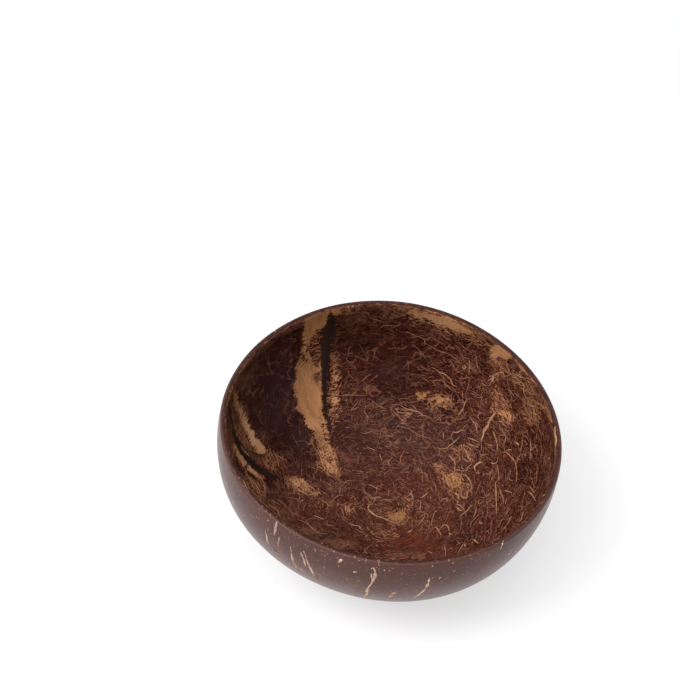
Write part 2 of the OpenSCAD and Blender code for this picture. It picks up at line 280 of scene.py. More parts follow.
# Strands of the inside that stand out, by shade and width in millimetres, each by its pixels
INNER_STRANDS = {
    ("umber", 0.31): [
        [(278, 347), (275, 349), (271, 351.5)], [(292, 354), (297, 357.5), (303, 360.5)],
        [(295, 356), (300, 357.5), (303, 360)], [(292.5, 364), (290, 369), (287.5, 374)],
        [(268, 371.5), (267, 374), (266, 379)], [(275.5, 374.5), (280, 373.5)],
        [(274, 388.5), (279.5, 384), (282, 386)], [(267.5, 391), (267.5, 399.5)],
        [(248.5, 379), (253, 388.5)], [(244, 389.5), (241, 398)],
        [(283, 401), (284.5, 405), (285.5, 411.5)],
        [(252, 400), (253, 405.5), (256.5, 411.5), (258.5, 417.5), (261.5, 422), (265.5, 427),
         (267, 432), (271, 436.5)],
        [(248.5, 399), (249.5, 404.5)], [(292, 433.5), (295.5, 441), (298, 445), (301, 448)],
        [(269.5, 443), (270.5, 447.5)], [(311.5, 462), (315, 468)],
        [(314.5, 445.5), (317.5, 451), (320, 456.5)], [(262.5, 477), (266.5, 480)],
        [(256.5, 477), (260, 483), (263.5, 487), (263, 494)],
        [(247.5, 479.5), (253, 485.5), (255.5, 490)],
        [(364, 312), (357.5, 313), (353, 313.5), (347, 315.5), (343.5, 317)],
        [(364, 315.5), (359.5, 318.5), (355.5, 322.5), (351, 325), (344.5, 328)],
        [(385, 310), (389.5, 309), (393, 308.5)], [(360, 327.5), (355.5, 331), (352.5, 335)],
        [(361, 328.5), (364, 332.5), (367, 335.5)], [(373.5, 321.5), (373.5, 325), (367, 325.5)],
        [(377, 329.5), (378.5, 334.5), (381, 337.5), (383.5, 339.5), (385.5, 344)],
        [(360.5, 320), (366.5, 320.5)], [(336.5, 331), (339.5, 333), (344, 331.5)],
        [(336.5, 334.5), (341.5, 335)], [(332.5, 344), (337, 347), (333, 351)],
        [(344, 355), (350.5, 356), (354, 357), (357.5, 357.5), (362.5, 357)],
        [(357.5, 357.5), (353, 360.5), (348, 364), (344.5, 366.5)],
        [(359.5, 360), (359.5, 365), (357.5, 368), (353, 371)],
        [(363, 360), (365, 364), (367, 367), (364.5, 371.5)],
        [(382.5, 368), (388, 369), (392, 370)], [(354, 379.5), (357.5, 382.5), (361, 383.5)],
        [(358.5, 372.5), (362.5, 372), (366.5, 372)],
        [(360, 375.5), (363, 374), (366.5, 371.5), (367.5, 369)], [(376, 376.5), (378.5, 378)],
        [(343.5, 385), (352, 385), (360, 386)], [(341, 388.5), (349.5, 389.5)],
        [(337, 391), (346, 392)], [(384, 382.5), (389.5, 385)], [(391, 388), (400, 389)],
        [(394.5, 395.5), (398, 396.5)], [(396.5, 328.5), (397, 332.5)],
        [(424, 330), (424, 332.5), (427, 335), (431, 337)], [(430, 332.5), (431, 335)],
        [(431.5, 342.5), (432, 341), (434, 339.5)], [(411, 337), (408.5, 341)],
        [(406, 344.5), (406.5, 347)], [(423, 354), (425.5, 356), (429, 357.5), (432, 357.5)],
        [(394, 358.5), (397.5, 357), (404, 356.5), (409, 357), (412.5, 358.5), (415.5, 359.5)],
        [(401, 376.5), (406, 376), (409, 380.5), (412.5, 383.5)],
        [(414, 376.5), (419.5, 377), (425.5, 377.5)], [(452, 390), (452.5, 394)],
        [(457.5, 351), (461, 353), (464, 355.5)],
        [(447.5, 361), (450.5, 359.5), (454.5, 360.5), (461, 364)],
        [(450, 364), (454, 367.5), (457.5, 371), (462, 373.5), (465.5, 375.5)],
        [(459, 385), (462.5, 386), (464, 389.5)], [(400, 395), (409, 394)],
        [(534.5, 400), (535, 406)], [(348.5, 400), (347.5, 405.5)], [(368, 417), (373, 417.5)],
        [(376.5, 409.5), (381, 409)], [(406.5, 424), (410, 429)],
        [(384, 420), (388, 418), (391.5, 417.5)], [(344, 420.5), (348.5, 421.5), (351.5, 422)],
        [(352.5, 425), (358.5, 424), (364, 425)], [(367.5, 424), (371, 424.5), (377.5, 425)],
        [(347, 437), (351, 434.5)], [(397.5, 431), (400.5, 432.5)],
        [(398.5, 435.5), (402.5, 436.5), (409, 437.5)],
        [(384, 445), (387, 447.5), (391, 449.5), (392.5, 453), (391, 457.5)],
        [(392.5, 452), (396.5, 452)], [(389.5, 467), (395, 468), (400.5, 467.5)],
        [(349.5, 449.5), (351.5, 454), (351.5, 455.5)], [(374, 450.5), (377, 455)],
        [(381, 449.5), (384, 454)], [(370.5, 456.5), (374, 462)],
        [(369.5, 466.5), (373, 470.5), (377, 473.5)],
        [(354.5, 479), (355.5, 476.5), (358.5, 475.5), (364, 477), (368.5, 479.5)],
        [(393, 481), (394, 487), (394.5, 491.5)], [(379.5, 481), (382.5, 481)],
        [(425.5, 405.5), (432, 406)], [(411, 417.5), (415, 420.5), (418.5, 424)],
        [(396.5, 429.5), (399.5, 432.5), (403, 433.5)], [(390, 432), (393, 435.5), (395.5, 437)],
        [(411, 448.5), (415, 447)], [(417, 450.5), (424, 451)], [(423, 461), (425.5, 464.5)],
        [(434.5, 481), (434, 485.5), (436, 488)], [(400, 486), (402, 491)],
        [(542, 438), (541, 444.5)], [(543.5, 449.5), (543.5, 454)],
        [(509.5, 467.5), (508.5, 474), (505, 472.5), (502.5, 470)],
        [(478.5, 499.5), (479, 504.5), (481, 508)], [(517, 496), (517, 502.5)],
        [(268.5, 504.5), (271, 505)], [(285, 511), (287, 514.5), (288.5, 516.5)],
        [(287, 497.5), (291, 497.5), (296, 498.5), (298.5, 498), (299.5, 502)],
        [(296, 474), (298, 477.5), (299.5, 480)], [(323.5, 524), (329, 525.5), (335, 527)],
        [(330.5, 532.5), (335.5, 533), (342, 535.5)], [(312.5, 516), (316.5, 519), (319, 521)],
        [(316.5, 514), (321, 516.5), (324, 519)],
        [(307.5, 498.5), (309.5, 502), (317, 501.5), (322, 502)],
        [(299.5, 520.5), (303, 521), (307.5, 525)], [(386, 555.5), (391, 554), (393, 556)],
        [(424, 534), (425.5, 532), (430, 531)], [(420, 534.5), (422, 536.5)],
        [(413.5, 518.5), (412.5, 525), (412.5, 530.5)],
        [(461, 513.5), (461, 521), (461, 527.5), (460, 530.5), (456.5, 531)],
        [(482.5, 509.5), (482, 516)], [(477, 521), (477, 528.5)],
    ],
    ("umber", 0.6): [
        [(468.5, 376.5), (469, 383), (468, 387.5), (466, 392.5), (466, 398.5)],
        [(507, 378.5), (508.5, 385), (509.5, 389.5)],
        [(509.5, 394), (511.5, 397.5), (511, 404), (512, 408.5)],
    ],
    ("fawn", 0.37): [
        [(286, 497), (295, 498.5), (302.5, 504)], [(323.5, 523.5), (335.5, 526.5)],
        [(270.5, 499.5), (281, 505.5)], [(288, 493.5), (297.5, 493.5), (304.5, 498.5)],
        [(241.5, 476), (245, 484), (249, 492)], [(253, 483), (259, 491), (261.5, 500)],
        [(275, 513), (284, 519), (290, 524)], [(287, 507), (293, 513), (302, 517)],
        [(359, 305.5), (362, 311), (364, 312), (367.5, 313.5), (372, 318), (376.5, 320),
         (382.5, 321.5), (389.5, 322.5)],
        [(379, 311.5), (382.5, 310), (385, 310), (386.5, 313.5), (384, 316.5), (381.5, 320)],
        [(359.5, 344.5), (361, 348), (364, 352.5), (365, 355.5), (366.5, 358)],
        [(374, 356), (377, 357.5), (379, 359.5), (375.5, 361)],
        [(387.5, 348.5), (392, 348.5), (400, 348)],
        [(348, 370), (349, 374), (351.5, 376.5), (354, 379.5)],
        [(362, 380.5), (365.5, 378), (369, 374.5), (370, 372.5)],
        [(369.5, 382.5), (372, 379.5), (376, 376.5), (378, 374)],
        [(364.5, 382.5), (367, 385), (366.5, 389.5), (367, 395.5)],
        [(383.5, 326), (389.5, 325.5), (396.5, 326), (399.5, 325), (401, 324), (399.5, 322.5),
         (395, 322.5)],
        [(409, 324), (412.5, 321.5), (417.5, 321), (424, 321.5), (428.5, 323.5), (434.5, 325),
         (439.5, 325.5), (447.5, 325.5)],
        [(409, 324), (412.5, 326), (417, 327.5)],
        [(438.5, 325.5), (438.5, 328.5), (440.5, 332.5), (443, 335.5), (446, 338.5),
         (449.5, 339.5), (453, 341.5)],
        [(400.5, 332.5), (404, 332), (408.5, 332.5), (413, 334.5), (418, 336.5), (422, 335.5),
         (425.5, 336.5)],
        [(431, 337), (434.5, 339), (438, 341), (441, 342.5)],
        [(424.5, 339.5), (425, 343.5), (424, 346)],
        [(425.5, 343.5), (431, 346.5), (434.5, 349), (439, 351), (444, 352.5), (448.5, 354),
         (454, 357.5), (457.5, 360.5), (461, 364)],
        [(391.5, 348), (400, 348.5), (403.5, 349), (406, 346.5), (409, 345.5)],
        [(418, 354.5), (423, 354), (425.5, 351)], [(403, 367.5), (406, 365.5), (407, 363)],
        [(418, 369), (420.5, 370), (424, 369)], [(412.5, 383.5), (417, 383), (419.5, 383)],
        [(427, 379), (431, 377), (434.5, 377)], [(431, 381.5), (434.5, 382.5)],
        [(439.5, 372.5), (443, 378.5), (445, 383.5), (448.5, 387.5), (452.5, 390), (456.5, 392),
         (460, 392.5)],
        [(448.5, 346.5), (452, 348), (455, 349.5)],
        [(474, 351), (476, 355), (476.5, 360.5), (477.5, 366.5), (479.5, 369.5), (481, 373.5)],
        [(461.5, 382.5), (464, 383), (465.5, 381)], [(513.5, 380.5), (516, 383), (519, 383)],
        [(528, 381), (531, 387.5), (534, 392.5), (536.5, 397)],
        [(527, 386), (530.5, 389.5), (534, 394)], [(530, 376.5), (534, 381.5), (537.5, 385.5)],
        [(528, 405.5), (527.5, 409.5), (527, 413.5)], [(538.5, 399), (542.5, 401)],
        [(539, 418), (537.5, 422)], [(543.5, 425), (544.5, 428)], [(527.5, 420.5), (531, 422.5)],
        [(504, 422), (508.5, 424), (511, 424.5)], [(514.5, 392.5), (518.5, 397.5)],
        [(497.5, 394), (498.5, 399), (496.5, 403)], [(500, 398), (502, 401)],
        [(501, 402), (505.5, 406.5)], [(500.5, 405), (505.5, 409.5)], [(504, 401), (509, 407)],
        [(486, 397.5), (486, 404)], [(241, 431), (243, 434.5), (243.5, 439)],
        [(241, 439.5), (244, 443), (248, 446)], [(244, 439), (248.5, 443), (251.5, 446)],
        [(264.5, 454.5), (267, 450)], [(265.5, 459), (268.5, 455), (271, 451)],
        [(270.5, 461), (274, 463.5), (278, 466)],
        [(264, 461.5), (267, 464.5), (271, 466.5), (273, 469.5)],
        [(279.5, 467), (282.5, 469), (284.5, 472.5)], [(284, 465.5), (289, 471)],
        [(258.5, 473.5), (261.5, 478), (264, 484), (265.5, 489), (264.5, 495.5), (264, 500)],
        [(335, 447.5), (335.5, 453), (337.5, 459), (338, 462.5)],
        [(363, 402), (365.5, 404.5), (365.5, 408.5), (364, 411), (366, 414), (368, 417.5),
         (367.5, 420.5), (367.5, 424.5)],
        [(370, 420), (374, 420)], [(372, 399.5), (375.5, 403.5), (380, 406.5), (386, 409)],
        [(389, 406.5), (393, 411), (398, 415.5), (401, 419.5), (406.5, 424)],
        [(391, 404.5), (400, 405)], [(400.5, 404.5), (401.5, 402.5), (405, 401.5)],
        [(398, 397.5), (400.5, 402)],
        [(360.5, 432.5), (365.5, 433.5), (369.5, 432), (372.5, 431.5)], [(380.5, 432), (380, 439)],
        [(390.5, 432.5), (393, 435.5), (395, 436.5)],
        [(386, 441), (390.5, 441.5), (391, 445.5), (388, 446.5)],
        [(404, 451), (401, 456.5), (400.5, 459.5), (401, 463.5)], [(347.5, 469.5), (352, 473)],
        [(362.5, 483), (364.5, 486)],
        [(405.5, 402.5), (414, 402), (417.5, 401), (421.5, 400), (424.5, 400)],
        [(425.5, 398.5), (429.5, 400), (433.5, 403)], [(444, 395.5), (451, 396.5)],
        [(437, 407), (437, 411), (434, 415)], [(424.5, 408.5), (431, 409), (434.5, 405.5)],
        [(417, 417), (420, 415.5), (424.5, 416)],
        [(403, 426.5), (408, 428.5), (412.5, 431.5), (417, 433.5), (424.5, 437), (431, 439.5),
         (434.5, 442.5), (438.5, 444)],
        [(439, 448.5), (439.5, 455.5)], [(445.5, 442.5), (443, 445.5), (440.5, 445.5)],
        [(462, 429.5), (465.5, 425.5), (468, 424)], [(454, 412.5), (456.5, 409), (458, 411)],
        [(455.5, 417.5), (457.5, 420), (461, 418.5)],
        [(441, 417), (441, 422.5), (447, 423), (449.5, 425.5)],
        [(447.5, 417), (452, 417), (452.5, 422.5)], [(470.5, 407), (473.5, 412.5)],
        [(462, 457), (466.5, 460), (469, 461)], [(476, 473.5), (480, 473)],
        [(457, 472.5), (461, 475.5)], [(418, 466), (418.5, 471)],
        [(424, 471), (427, 477.5), (429.5, 482.5)], [(440.5, 459.5), (442.5, 466)],
        [(444, 464.5), (448.5, 469)], [(436, 469), (438.5, 473)], [(461.5, 465.5), (462, 469)],
        [(498, 425.5), (502, 430.5), (505.5, 435.5), (509, 440)],
        [(504, 421.5), (509.5, 423.5), (512, 426.5), (511.5, 431)], [(504.5, 429), (509.5, 432.5)],
        [(521.5, 437), (522.5, 442), (521, 448.5), (520.5, 453.5), (518.5, 458.5), (516.5, 463)],
        [(536.5, 433.5), (536.5, 440)], [(534, 443), (537.5, 451)], [(531, 429), (535, 433.5)],
        [(537.5, 464), (537, 471), (536.5, 477), (537, 480), (535, 484.5)],
        [(530, 475), (532, 480), (534, 486.5)], [(539, 485.5), (534.5, 491.5), (531, 493.5)],
        [(541, 487), (543.5, 482.5)], [(493, 489), (496, 492.5)], [(475, 473), (479.5, 472.5)],
        [(271.5, 501.5), (275.5, 502.5), (278.5, 504)], [(272.5, 505), (277, 509), (279.5, 512.5)],
        [(319, 489), (323.5, 492.5), (328.5, 495.5)],
        [(312.5, 532.5), (316.5, 533), (319.5, 532), (320, 529.5)],
        [(361.5, 487), (364, 491), (367.5, 494), (371.5, 497)], [(356, 507.5), (352.5, 509.5)],
        [(340, 507), (343, 512), (344, 517), (347, 519), (351.5, 519.5)],
        [(355, 528.5), (358.5, 530.5), (361.5, 532.5), (364, 530.5)],
        [(364.5, 538), (368.5, 540), (372, 539.5)],
        [(371, 531), (373.5, 534.5), (377, 532.5), (386, 533)], [(382.5, 541.5), (388.5, 538)],
        [(365, 547), (365, 551), (367, 554)], [(342, 547), (344.5, 545.5), (348.5, 544.5)],
        [(384, 500), (388.5, 500.5), (392.5, 503)], [(384, 509), (387, 506.5)],
        [(394, 497.5), (397.5, 497.5), (401, 494)],
        [(412.5, 502.5), (416, 500.5), (420.5, 501.5), (420.5, 505.5), (420, 509), (421, 514)],
        [(425, 520.5), (429, 521), (430, 525)], [(405.5, 523), (408, 521)],
        [(434.5, 483), (434, 486.5)], [(438.5, 482), (441, 484.5)],
        [(466, 482), (467, 486.5), (469, 491)], [(464, 509.5), (466, 514.5), (466.5, 516.5)],
        [(434.5, 512), (433, 517), (431.5, 524), (433, 527.5)],
        [(448, 516), (448, 513.5), (450.5, 511.5), (453, 512.5)],
        [(477, 506.5), (476, 511), (474, 515.5), (472.5, 519)],
        [(480.5, 500.5), (478, 501.5), (479.5, 505), (480.5, 507.5)],
        [(487.5, 500.5), (488, 504.5)], [(487.5, 509.5), (487.5, 514)],
        [(511, 504), (508.5, 506.5)], [(511, 508.5), (508, 511), (505.5, 514.5), (505, 517)],
        [(504, 517), (501.5, 521), (499, 524)], [(510.5, 521), (507.5, 524), (505, 528)],
        [(503, 514.5), (499.5, 518)], [(506.5, 525.5), (503, 529.5), (500, 533)],
        [(492, 519), (491, 524), (491, 530), (491.5, 532.5)],
        [(489, 534), (487.5, 531), (484, 534)], [(471, 537), (474, 535)],
        [(456.5, 540), (459.5, 544)],
    ],
    ("fawn", 0.5): [
        [(338.5, 395.5), (352.5, 395), (357.5, 395.5), (366.5, 395.5)],
    ],
    ("fawn", 0.6): [
        [(469, 359.5), (469.5, 365), (469, 371.5), (469, 375.5)], [(481, 382.5), (486, 386)],
        [(490.5, 383), (489, 386)], [(481, 441.5), (481.5, 448), (480.5, 451.5)],
        [(272.5, 450.5), (276, 454.5), (280.5, 457.5), (286.5, 460)],
        [(499, 485), (500.5, 492), (503, 497.5), (503.5, 503)],
    ],
    ("fawn", 0.8): [
        [(506.5, 360.5), (507, 365.5), (509, 371), (508.5, 374.5), (507, 378.5)],
    ],
    ("straw", 0.42): [
        [(244.5, 471), (250.5, 480.5), (254, 490)], [(260, 473.5), (264, 484), (265.5, 497)],
        [(249, 477), (256.5, 485.5), (262, 496)], [(268, 504), (276.5, 510), (280, 516)],
        [(297.5, 519.5), (307, 523), (313, 529), (319, 532.5)], [(314, 515.5), (324.5, 519.5)],
        [(246, 481), (249.5, 488), (254.5, 494.5)], [(257, 497), (263, 503), (270, 508.5)],
        [(431.5, 367), (437, 370), (439.5, 372.5), (444, 374), (447.5, 376.5), (450.5, 379.5),
         (453, 385), (457.5, 387.5)],
        [(462.5, 366), (465, 365.5), (465.5, 368.5), (463, 369), (462.5, 366)],
        [(511.5, 371.5), (514.5, 374), (518.5, 376), (523.5, 378), (528.5, 378.5), (533, 381.5)],
        [(512, 377), (516, 378), (519, 380.5), (523, 384), (524, 387.5), (523.5, 391),
         (525, 395.5), (526, 400)],
        [(525, 403.5), (528.5, 404), (531, 406), (534, 406.5), (534, 413), (534, 417),
         (531, 418.5), (527.5, 420.5)],
        [(536.5, 403), (540, 404), (542.5, 407), (544.5, 409.5)],
        [(482, 413), (479.5, 413.5), (478, 416), (478.5, 418.5), (480, 420)],
        [(314, 447.5), (317, 451), (319.5, 455), (322, 460), (323, 464.5), (326, 469.5),
         (328.5, 473.5)],
        [(322, 442.5), (322, 447.5), (324, 454), (324.5, 459)],
        [(327, 441), (328, 447.5), (329, 452.5), (332.5, 457.5), (335.5, 463.5), (337, 468),
         (337, 472.5)],
        [(325.5, 457.5), (326.5, 462), (331, 466), (331.5, 469), (330, 472.5)],
        [(333.5, 465.5), (334, 469.5), (331.5, 474)],
        [(400, 405), (406, 408.5), (412.5, 410.5), (418.5, 412), (422, 415), (425.5, 416),
         (429.5, 416.5)],
        [(392.5, 457), (389, 461), (388, 462), (389.5, 466)],
        [(444, 401), (447, 402.5), (450, 405.5)],
        [(436, 447.5), (440.5, 448.5), (445.5, 448.5), (449.5, 446), (453, 443), (457, 439.5),
         (460, 436)],
        [(443.5, 432.5), (443.5, 439)], [(452.5, 432), (457, 432.5), (462, 430), (465.5, 431.5)],
        [(467.5, 398.5), (464.5, 403.5), (463.5, 408), (460, 413), (458, 415.5)],
        [(469.5, 417), (472.5, 420.5), (475.5, 425), (476.5, 429.5), (477.5, 433.5)],
        [(468.5, 438), (473, 439.5), (479.5, 442.5)], [(466.5, 443), (471.5, 445), (478.5, 447.5)],
        [(462, 445.5), (465.5, 450.5), (468, 456.5), (469.5, 460), (472.5, 463.5)],
        [(472.5, 463.5), (468, 467), (466, 471.5)],
        [(448, 454), (451, 457.5), (454.5, 461.5), (455, 466.5), (454.5, 471.5)],
        [(481, 462.5), (477.5, 464), (474, 466.5), (475, 470.5)],
        [(461, 475), (464.5, 474.5), (468.5, 478.5), (471, 483.5), (471.5, 488), (470.5, 491),
         (472.5, 494), (471, 496)],
        [(493, 430.5), (495, 437), (497, 443), (497.5, 451)],
        [(505.5, 435.5), (505.5, 440.5), (503, 444)],
        [(500.5, 453.5), (505.5, 452), (509.5, 455.5), (512.5, 458.5), (515.5, 463), (516, 467.5),
         (517, 474), (516, 482.5)],
        [(505.5, 451), (511, 449.5), (512, 452)],
        [(530, 437), (530.5, 443), (531, 448.5), (530, 452), (531, 456), (530, 459.5)],
        [(529.5, 486), (532, 489.5), (534.5, 492.5)],
        [(527.5, 491.5), (531, 493.5), (534, 497.5), (535.5, 501)],
        [(497, 465.5), (498.5, 472.5), (498.5, 479), (495.5, 483.5), (496, 489), (496, 496),
         (496.5, 503), (496.5, 509.5), (496, 517)],
        [(486.5, 496), (489, 495), (491, 493.5)], [(504, 490), (508.5, 491.5), (512, 492.5)],
        [(508, 477.5), (510, 479.5), (513, 481)],
        [(490, 462.5), (494, 463.5), (497.5, 461.5), (497.5, 459)],
        [(483, 462.5), (479, 462.5), (475, 466), (475.5, 472)],
        [(287, 480), (294.5, 481.5), (298.5, 484.5), (303, 488), (307.5, 489)],
        [(303, 479.5), (306, 483), (309.5, 486), (313, 489)],
        [(291.5, 486), (297, 489), (303, 492.5), (307.5, 495), (312.5, 494), (317.5, 492.5),
         (322.5, 495)],
        [(295.5, 487), (300.5, 490.5), (305, 492.5)],
        [(297, 481), (301, 484.5), (305.5, 488), (310.5, 491.5), (314.5, 492.5)],
        [(368.5, 498), (373.5, 498), (378, 497), (381.5, 497.5)], [(345.5, 504.5), (345.5, 511)],
        [(348.5, 505.5), (348, 511.5)], [(352.5, 508.5), (348.5, 512)],
        [(348.5, 523), (353, 525), (358.5, 526), (361.5, 528)], [(368.5, 534), (364.5, 537)],
        [(405.5, 495), (406.5, 498.5), (409.5, 499.5), (413, 497.5), (411.5, 493.5)],
        [(411, 491.5), (411.5, 495.5)], [(428, 493), (424.5, 495.5), (420.5, 498)],
        [(441, 501.5), (442.5, 499.5), (446, 498.5), (447.5, 501.5)],
        [(455.5, 505), (457.5, 504), (461.5, 506.5), (464, 509.5)],
        [(455, 506.5), (458.5, 509), (461.5, 511), (463.5, 509)], [(457.5, 500.5), (458, 503)],
        [(433, 527.5), (436.5, 527.5), (438.5, 530.5), (441, 535)],
        [(440.5, 528), (443.5, 525.5), (447, 525), (448.5, 527.5), (449, 531)],
        [(448, 533), (452.5, 534.5)], [(511, 516), (509.5, 519.5)],
        [(480, 520.5), (479.5, 523), (483, 523)], [(464, 543.5), (465.5, 547)],
        [(427.5, 551), (433, 553.5)],
    ],
    ("straw", 0.6): [
        [(497.5, 376), (498.5, 373), (501, 372), (503.5, 373.5), (503.5, 377)],
        [(240.5, 445.5), (243.5, 450), (247, 454), (250.5, 457)],
        [(514, 441.5), (516.5, 443), (519, 445)], [(489, 474.5), (491.5, 471)],
        [(374.5, 504), (371, 504), (368.5, 505.5), (368.5, 509), (371, 512), (375.5, 515.5),
         (380.5, 517), (385.5, 519), (390, 521), (394, 523), (399, 524)],
        [(458.5, 487), (461, 489), (461, 493.5), (462, 497), (467, 497.5), (467, 491.5),
         (470.5, 490.5)],
        [(473.5, 539), (476, 541.5), (478, 543.5)],
    ],
    ("straw", 0.9): [
        [(492.5, 375.5), (493, 379), (490.5, 383)],
        [(555, 426.5), (555, 433.5), (556, 439.5), (555, 448.5), (555, 454.5)],
    ],
    ("straw", 1.2): [
        [(496, 412), (492.5, 416.5), (489, 421.5), (488, 425.5), (484.5, 430), (483, 435.5),
         (481, 441.5)],
    ],
}

# Strands of the outside, in the same way
OUTER_STRANDS = {
    ("fawn", 0.4): [
        [(309.5, 553.5), (313, 557)], [(312, 564), (316, 569.5)],
    ],
    ("fawn", 0.5): [
        [(315.5, 574), (318.5, 579.5)], [(273.5, 547.5), (277, 552.5)],
        [(477, 572.5), (484, 567.5)],
    ],
    ("fawn", 0.6): [
        [(477, 572), (481, 569.5)],
    ],
    ("fawn", 0.7): [
        [(352, 586), (360, 586)],
    ],
    ("cream", 0.4): [
        [(225.5, 481), (227.5, 488), (230, 494.5)],
    ],
    ("cream", 0.5): [
        [(371, 568.5), (373.5, 568.5)], [(371.5, 573.5), (371.5, 577), (372.5, 580.5)],
        [(501.5, 546.5), (500.5, 549.5)], [(233, 499.5), (233.5, 504.5)],
    ],
    ("cream", 0.6): [
        [(439, 579), (441, 577)], [(505.5, 560), (503, 562.5)],
    ],
    ("cream", 0.7): [
        [(279.5, 537), (278.5, 541), (278, 545), (278.5, 549.5)],
    ],
    ("cream", 0.8): [
        [(503.5, 541), (501.5, 546.5)], [(300, 568.5), (303.5, 571)], [(295, 563.5), (297, 569.5)],
    ],
    ("cream", 0.9): [
        [(265, 531), (266.5, 535.5), (267.5, 542), (268.5, 545)],
        [(300.5, 552.5), (303.5, 558.5), (305.5, 566.5)],
        [(303.5, 551), (305.5, 555.5), (307.5, 562), (311, 569.5), (315, 577), (318.5, 581.5)],
        [(429.5, 577.5), (428.5, 583)], [(511, 550), (509.5, 553.5), (508, 555.5)],
    ],
    ("cream", 1.0): [
        [(277, 521), (276, 526), (275, 530.5), (274, 535.5)],
        [(290, 546), (291.5, 552.5), (292.5, 559.5), (295, 565.5), (297.5, 570)],
        [(353, 572), (357.5, 572)], [(389.5, 597), (392.5, 594), (396.5, 592)],
    ],
    ("cream", 0.95): [
        [(373.5, 567.5), (375.2, 572), (375, 576.5), (373, 580.5), (370.8, 584.5)],
        [(426, 588), (420.5, 593.5), (412.5, 598.5)],
    ],
    ("cream", 1.2): [
        [(342, 559), (338.5, 562.5)],
    ],
    ("cream", 1.05): [
        [(370.8, 584.5), (368, 588), (366.6, 591.5), (367, 594), (364, 597)],
    ],
    ("cream", 1.25): [
        [(428.5, 583), (426, 588)],
    ],
}

# Round pale flecks, each a pixel and a width in millimetres
INNER_FLECKS = [
    (364, 442.5, 0.6), (358, 448.5, 0.6), (367, 446, 0.5), (360.5, 453, 0.5), (364, 448, 0.5),
    (379.5, 509.5, 0.5), (413, 557.5, 0.7), (418.5, 555, 0.7), (379, 553.5, 0.5), (329, 505, 0.5),
    (316, 507, 0.5), (309, 505.5, 0.5), (345.5, 487, 0.5), (537, 451, 0.7), (549, 458.5, 0.6),
    (543.5, 495.5, 0.8), (427, 511, 0.5), (525.5, 455, 0.6), (467.5, 524, 0.7),
]
OUTER_FLECKS = [
    (256, 502, 0.5), (266.5, 511, 0.7), (270.5, 514.5, 0.9), (256.5, 517, 0.5), (268, 520.5, 0.9),
    (268, 529.5, 0.7), (288.5, 539.5, 0.6), (296.5, 532.5, 0.5), (300.5, 534, 0.5), (289.5, 532.5, 0.5),
    (246, 507.5, 0.6), (322, 543.5, 0.7), (327, 546.5, 0.6), (321.5, 550.5, 0.8), (324.5, 555.5, 0.8),
    (334, 551.5, 0.8), (318, 560.5, 0.8), (324.5, 567.5, 0.8), (338.5, 566, 0.5), (338.5, 581.5, 0.6),
    (343, 581.5, 0.5), (347.5, 579, 0.8), (348, 544.5, 0.7), (355, 557, 1.2), (364.5, 552.5, 0.5),
    (376.5, 567.5, 0.7), (384.5, 570.5, 0.9), (386.5, 555, 0.5), (393, 559.5, 0.7), (378, 560.5, 0.6),
    (392.5, 581, 0.7), (376.5, 586.5, 0.6), (380.5, 587.5, 0.7), (409.5, 554.5, 0.5), (412, 591, 0.7),
    (417, 591, 0.6), (432.5, 566, 0.9), (454, 571, 1), (453, 563, 0.9), (449, 560, 0.8),
    (447.5, 578, 0.7), (467.5, 567, 0.9), (492, 551.5, 0.7), (492.5, 543, 0.6), (517.5, 543, 0.6),
    (526, 522, 0.6), (544, 495, 0.8), (245, 486, 0.8),
]

# Half length of a fleck in pixels of the photograph, for each millimetre of its width, and the
# pixels from one point to the next of a strand that is laid along pixels
FLECK_PIXELS = 0.9
TRACE_PIXELS = 2.0

# Shades of strands, each running from a light to a dark one of the bowl's colours
SHADES = {
    "straw": ("fibre_pale", "fibre_mid"),
    "fawn": ("fibre_mid", "fibre_dim"),
    "umber": ("fibre_dim", "fibre_dark"),
    "cream": ("cream", "fibre_mid"),
    "fleck": ("cream_dark", "fibre_dim"),
}

# How often a grown strand of the inside has each shade, where the photograph shows it, since its
# pale strands are laid one by one there, and where it doesn't
SHOWN_SHARES = {"straw": 0.03, "fawn": 0.25, "umber": 0.72}
HIDDEN_SHARES = {"straw": 0.25, "fawn": 0.4, "umber": 0.35}

# What is left of the colour of fibres and of solid tan, as linear light, where they are dimmest; the
# dimming is partly painted shade
DIMMEST = 0.35
DIMMEST_TAN = 0.6

# Sides of a strand's flattened tube, and how far its crest stands out: a share of half its width,
# and at most
STRAND_SIDES = 8
CREST_SHARE = 0.35
CREST_LIMIT = 0.07 * MM

# Width of a strand's tips as a share of its own, and how fast it widens from them
TIP_SHARE = 0.35
TIP_GROWTH = 2.2

# How much a strand's width changes along it, and over which length
UNEVEN = 0.7
UNEVEN_LENGTH = 1.1 * MM

# Spreads of angles in radians: from the way round the bowl and at each bend for a grown strand of
# the inside, from the way down the wall and at each bend for a stroke of the outside, and of the
# wandering of both at each step
HEADING_SPREAD = 0.8
BEND_SPREAD = 0.2
STROKE_HEADING_SPREAD = 0.3
STROKE_BEND_SPREAD = 0.1
WANDER_SPREAD = 0.25

# Least and most steps of grown strands and strokes, the steps of a fleck and the length of one
STRAND_STEPS = (3, 10)
STROKE_STEPS = (4, 12)
FLECK_STEPS = 3
FLECK_STEP = 0.35 * MM

# Least and greatest width: of strands as shares of the mean, of strokes and flecks in millimetres
STRAND_WIDTH_SHARES = (0.7, 1.3)
STROKE_WIDTHS = (0.5, 1.1)
FLECK_WIDTHS = (0.4, 0.8)

# Share of strokes among the grown marks of the outside, the others being flecks
STROKE_SHARE = 0.3

# Where grown strands start, as sines of the slope seen from the belly's middle, and where grown
# marks of the outside start, as shares of the belly's height
START_SINES = (-1, 0.1)
START_HEIGHT_SHARES = (0.15, 1.0)

# Millimetres that grown strands keep from the marked zones
KEEP_FROM = {"black": 1, "tan": 0.5}

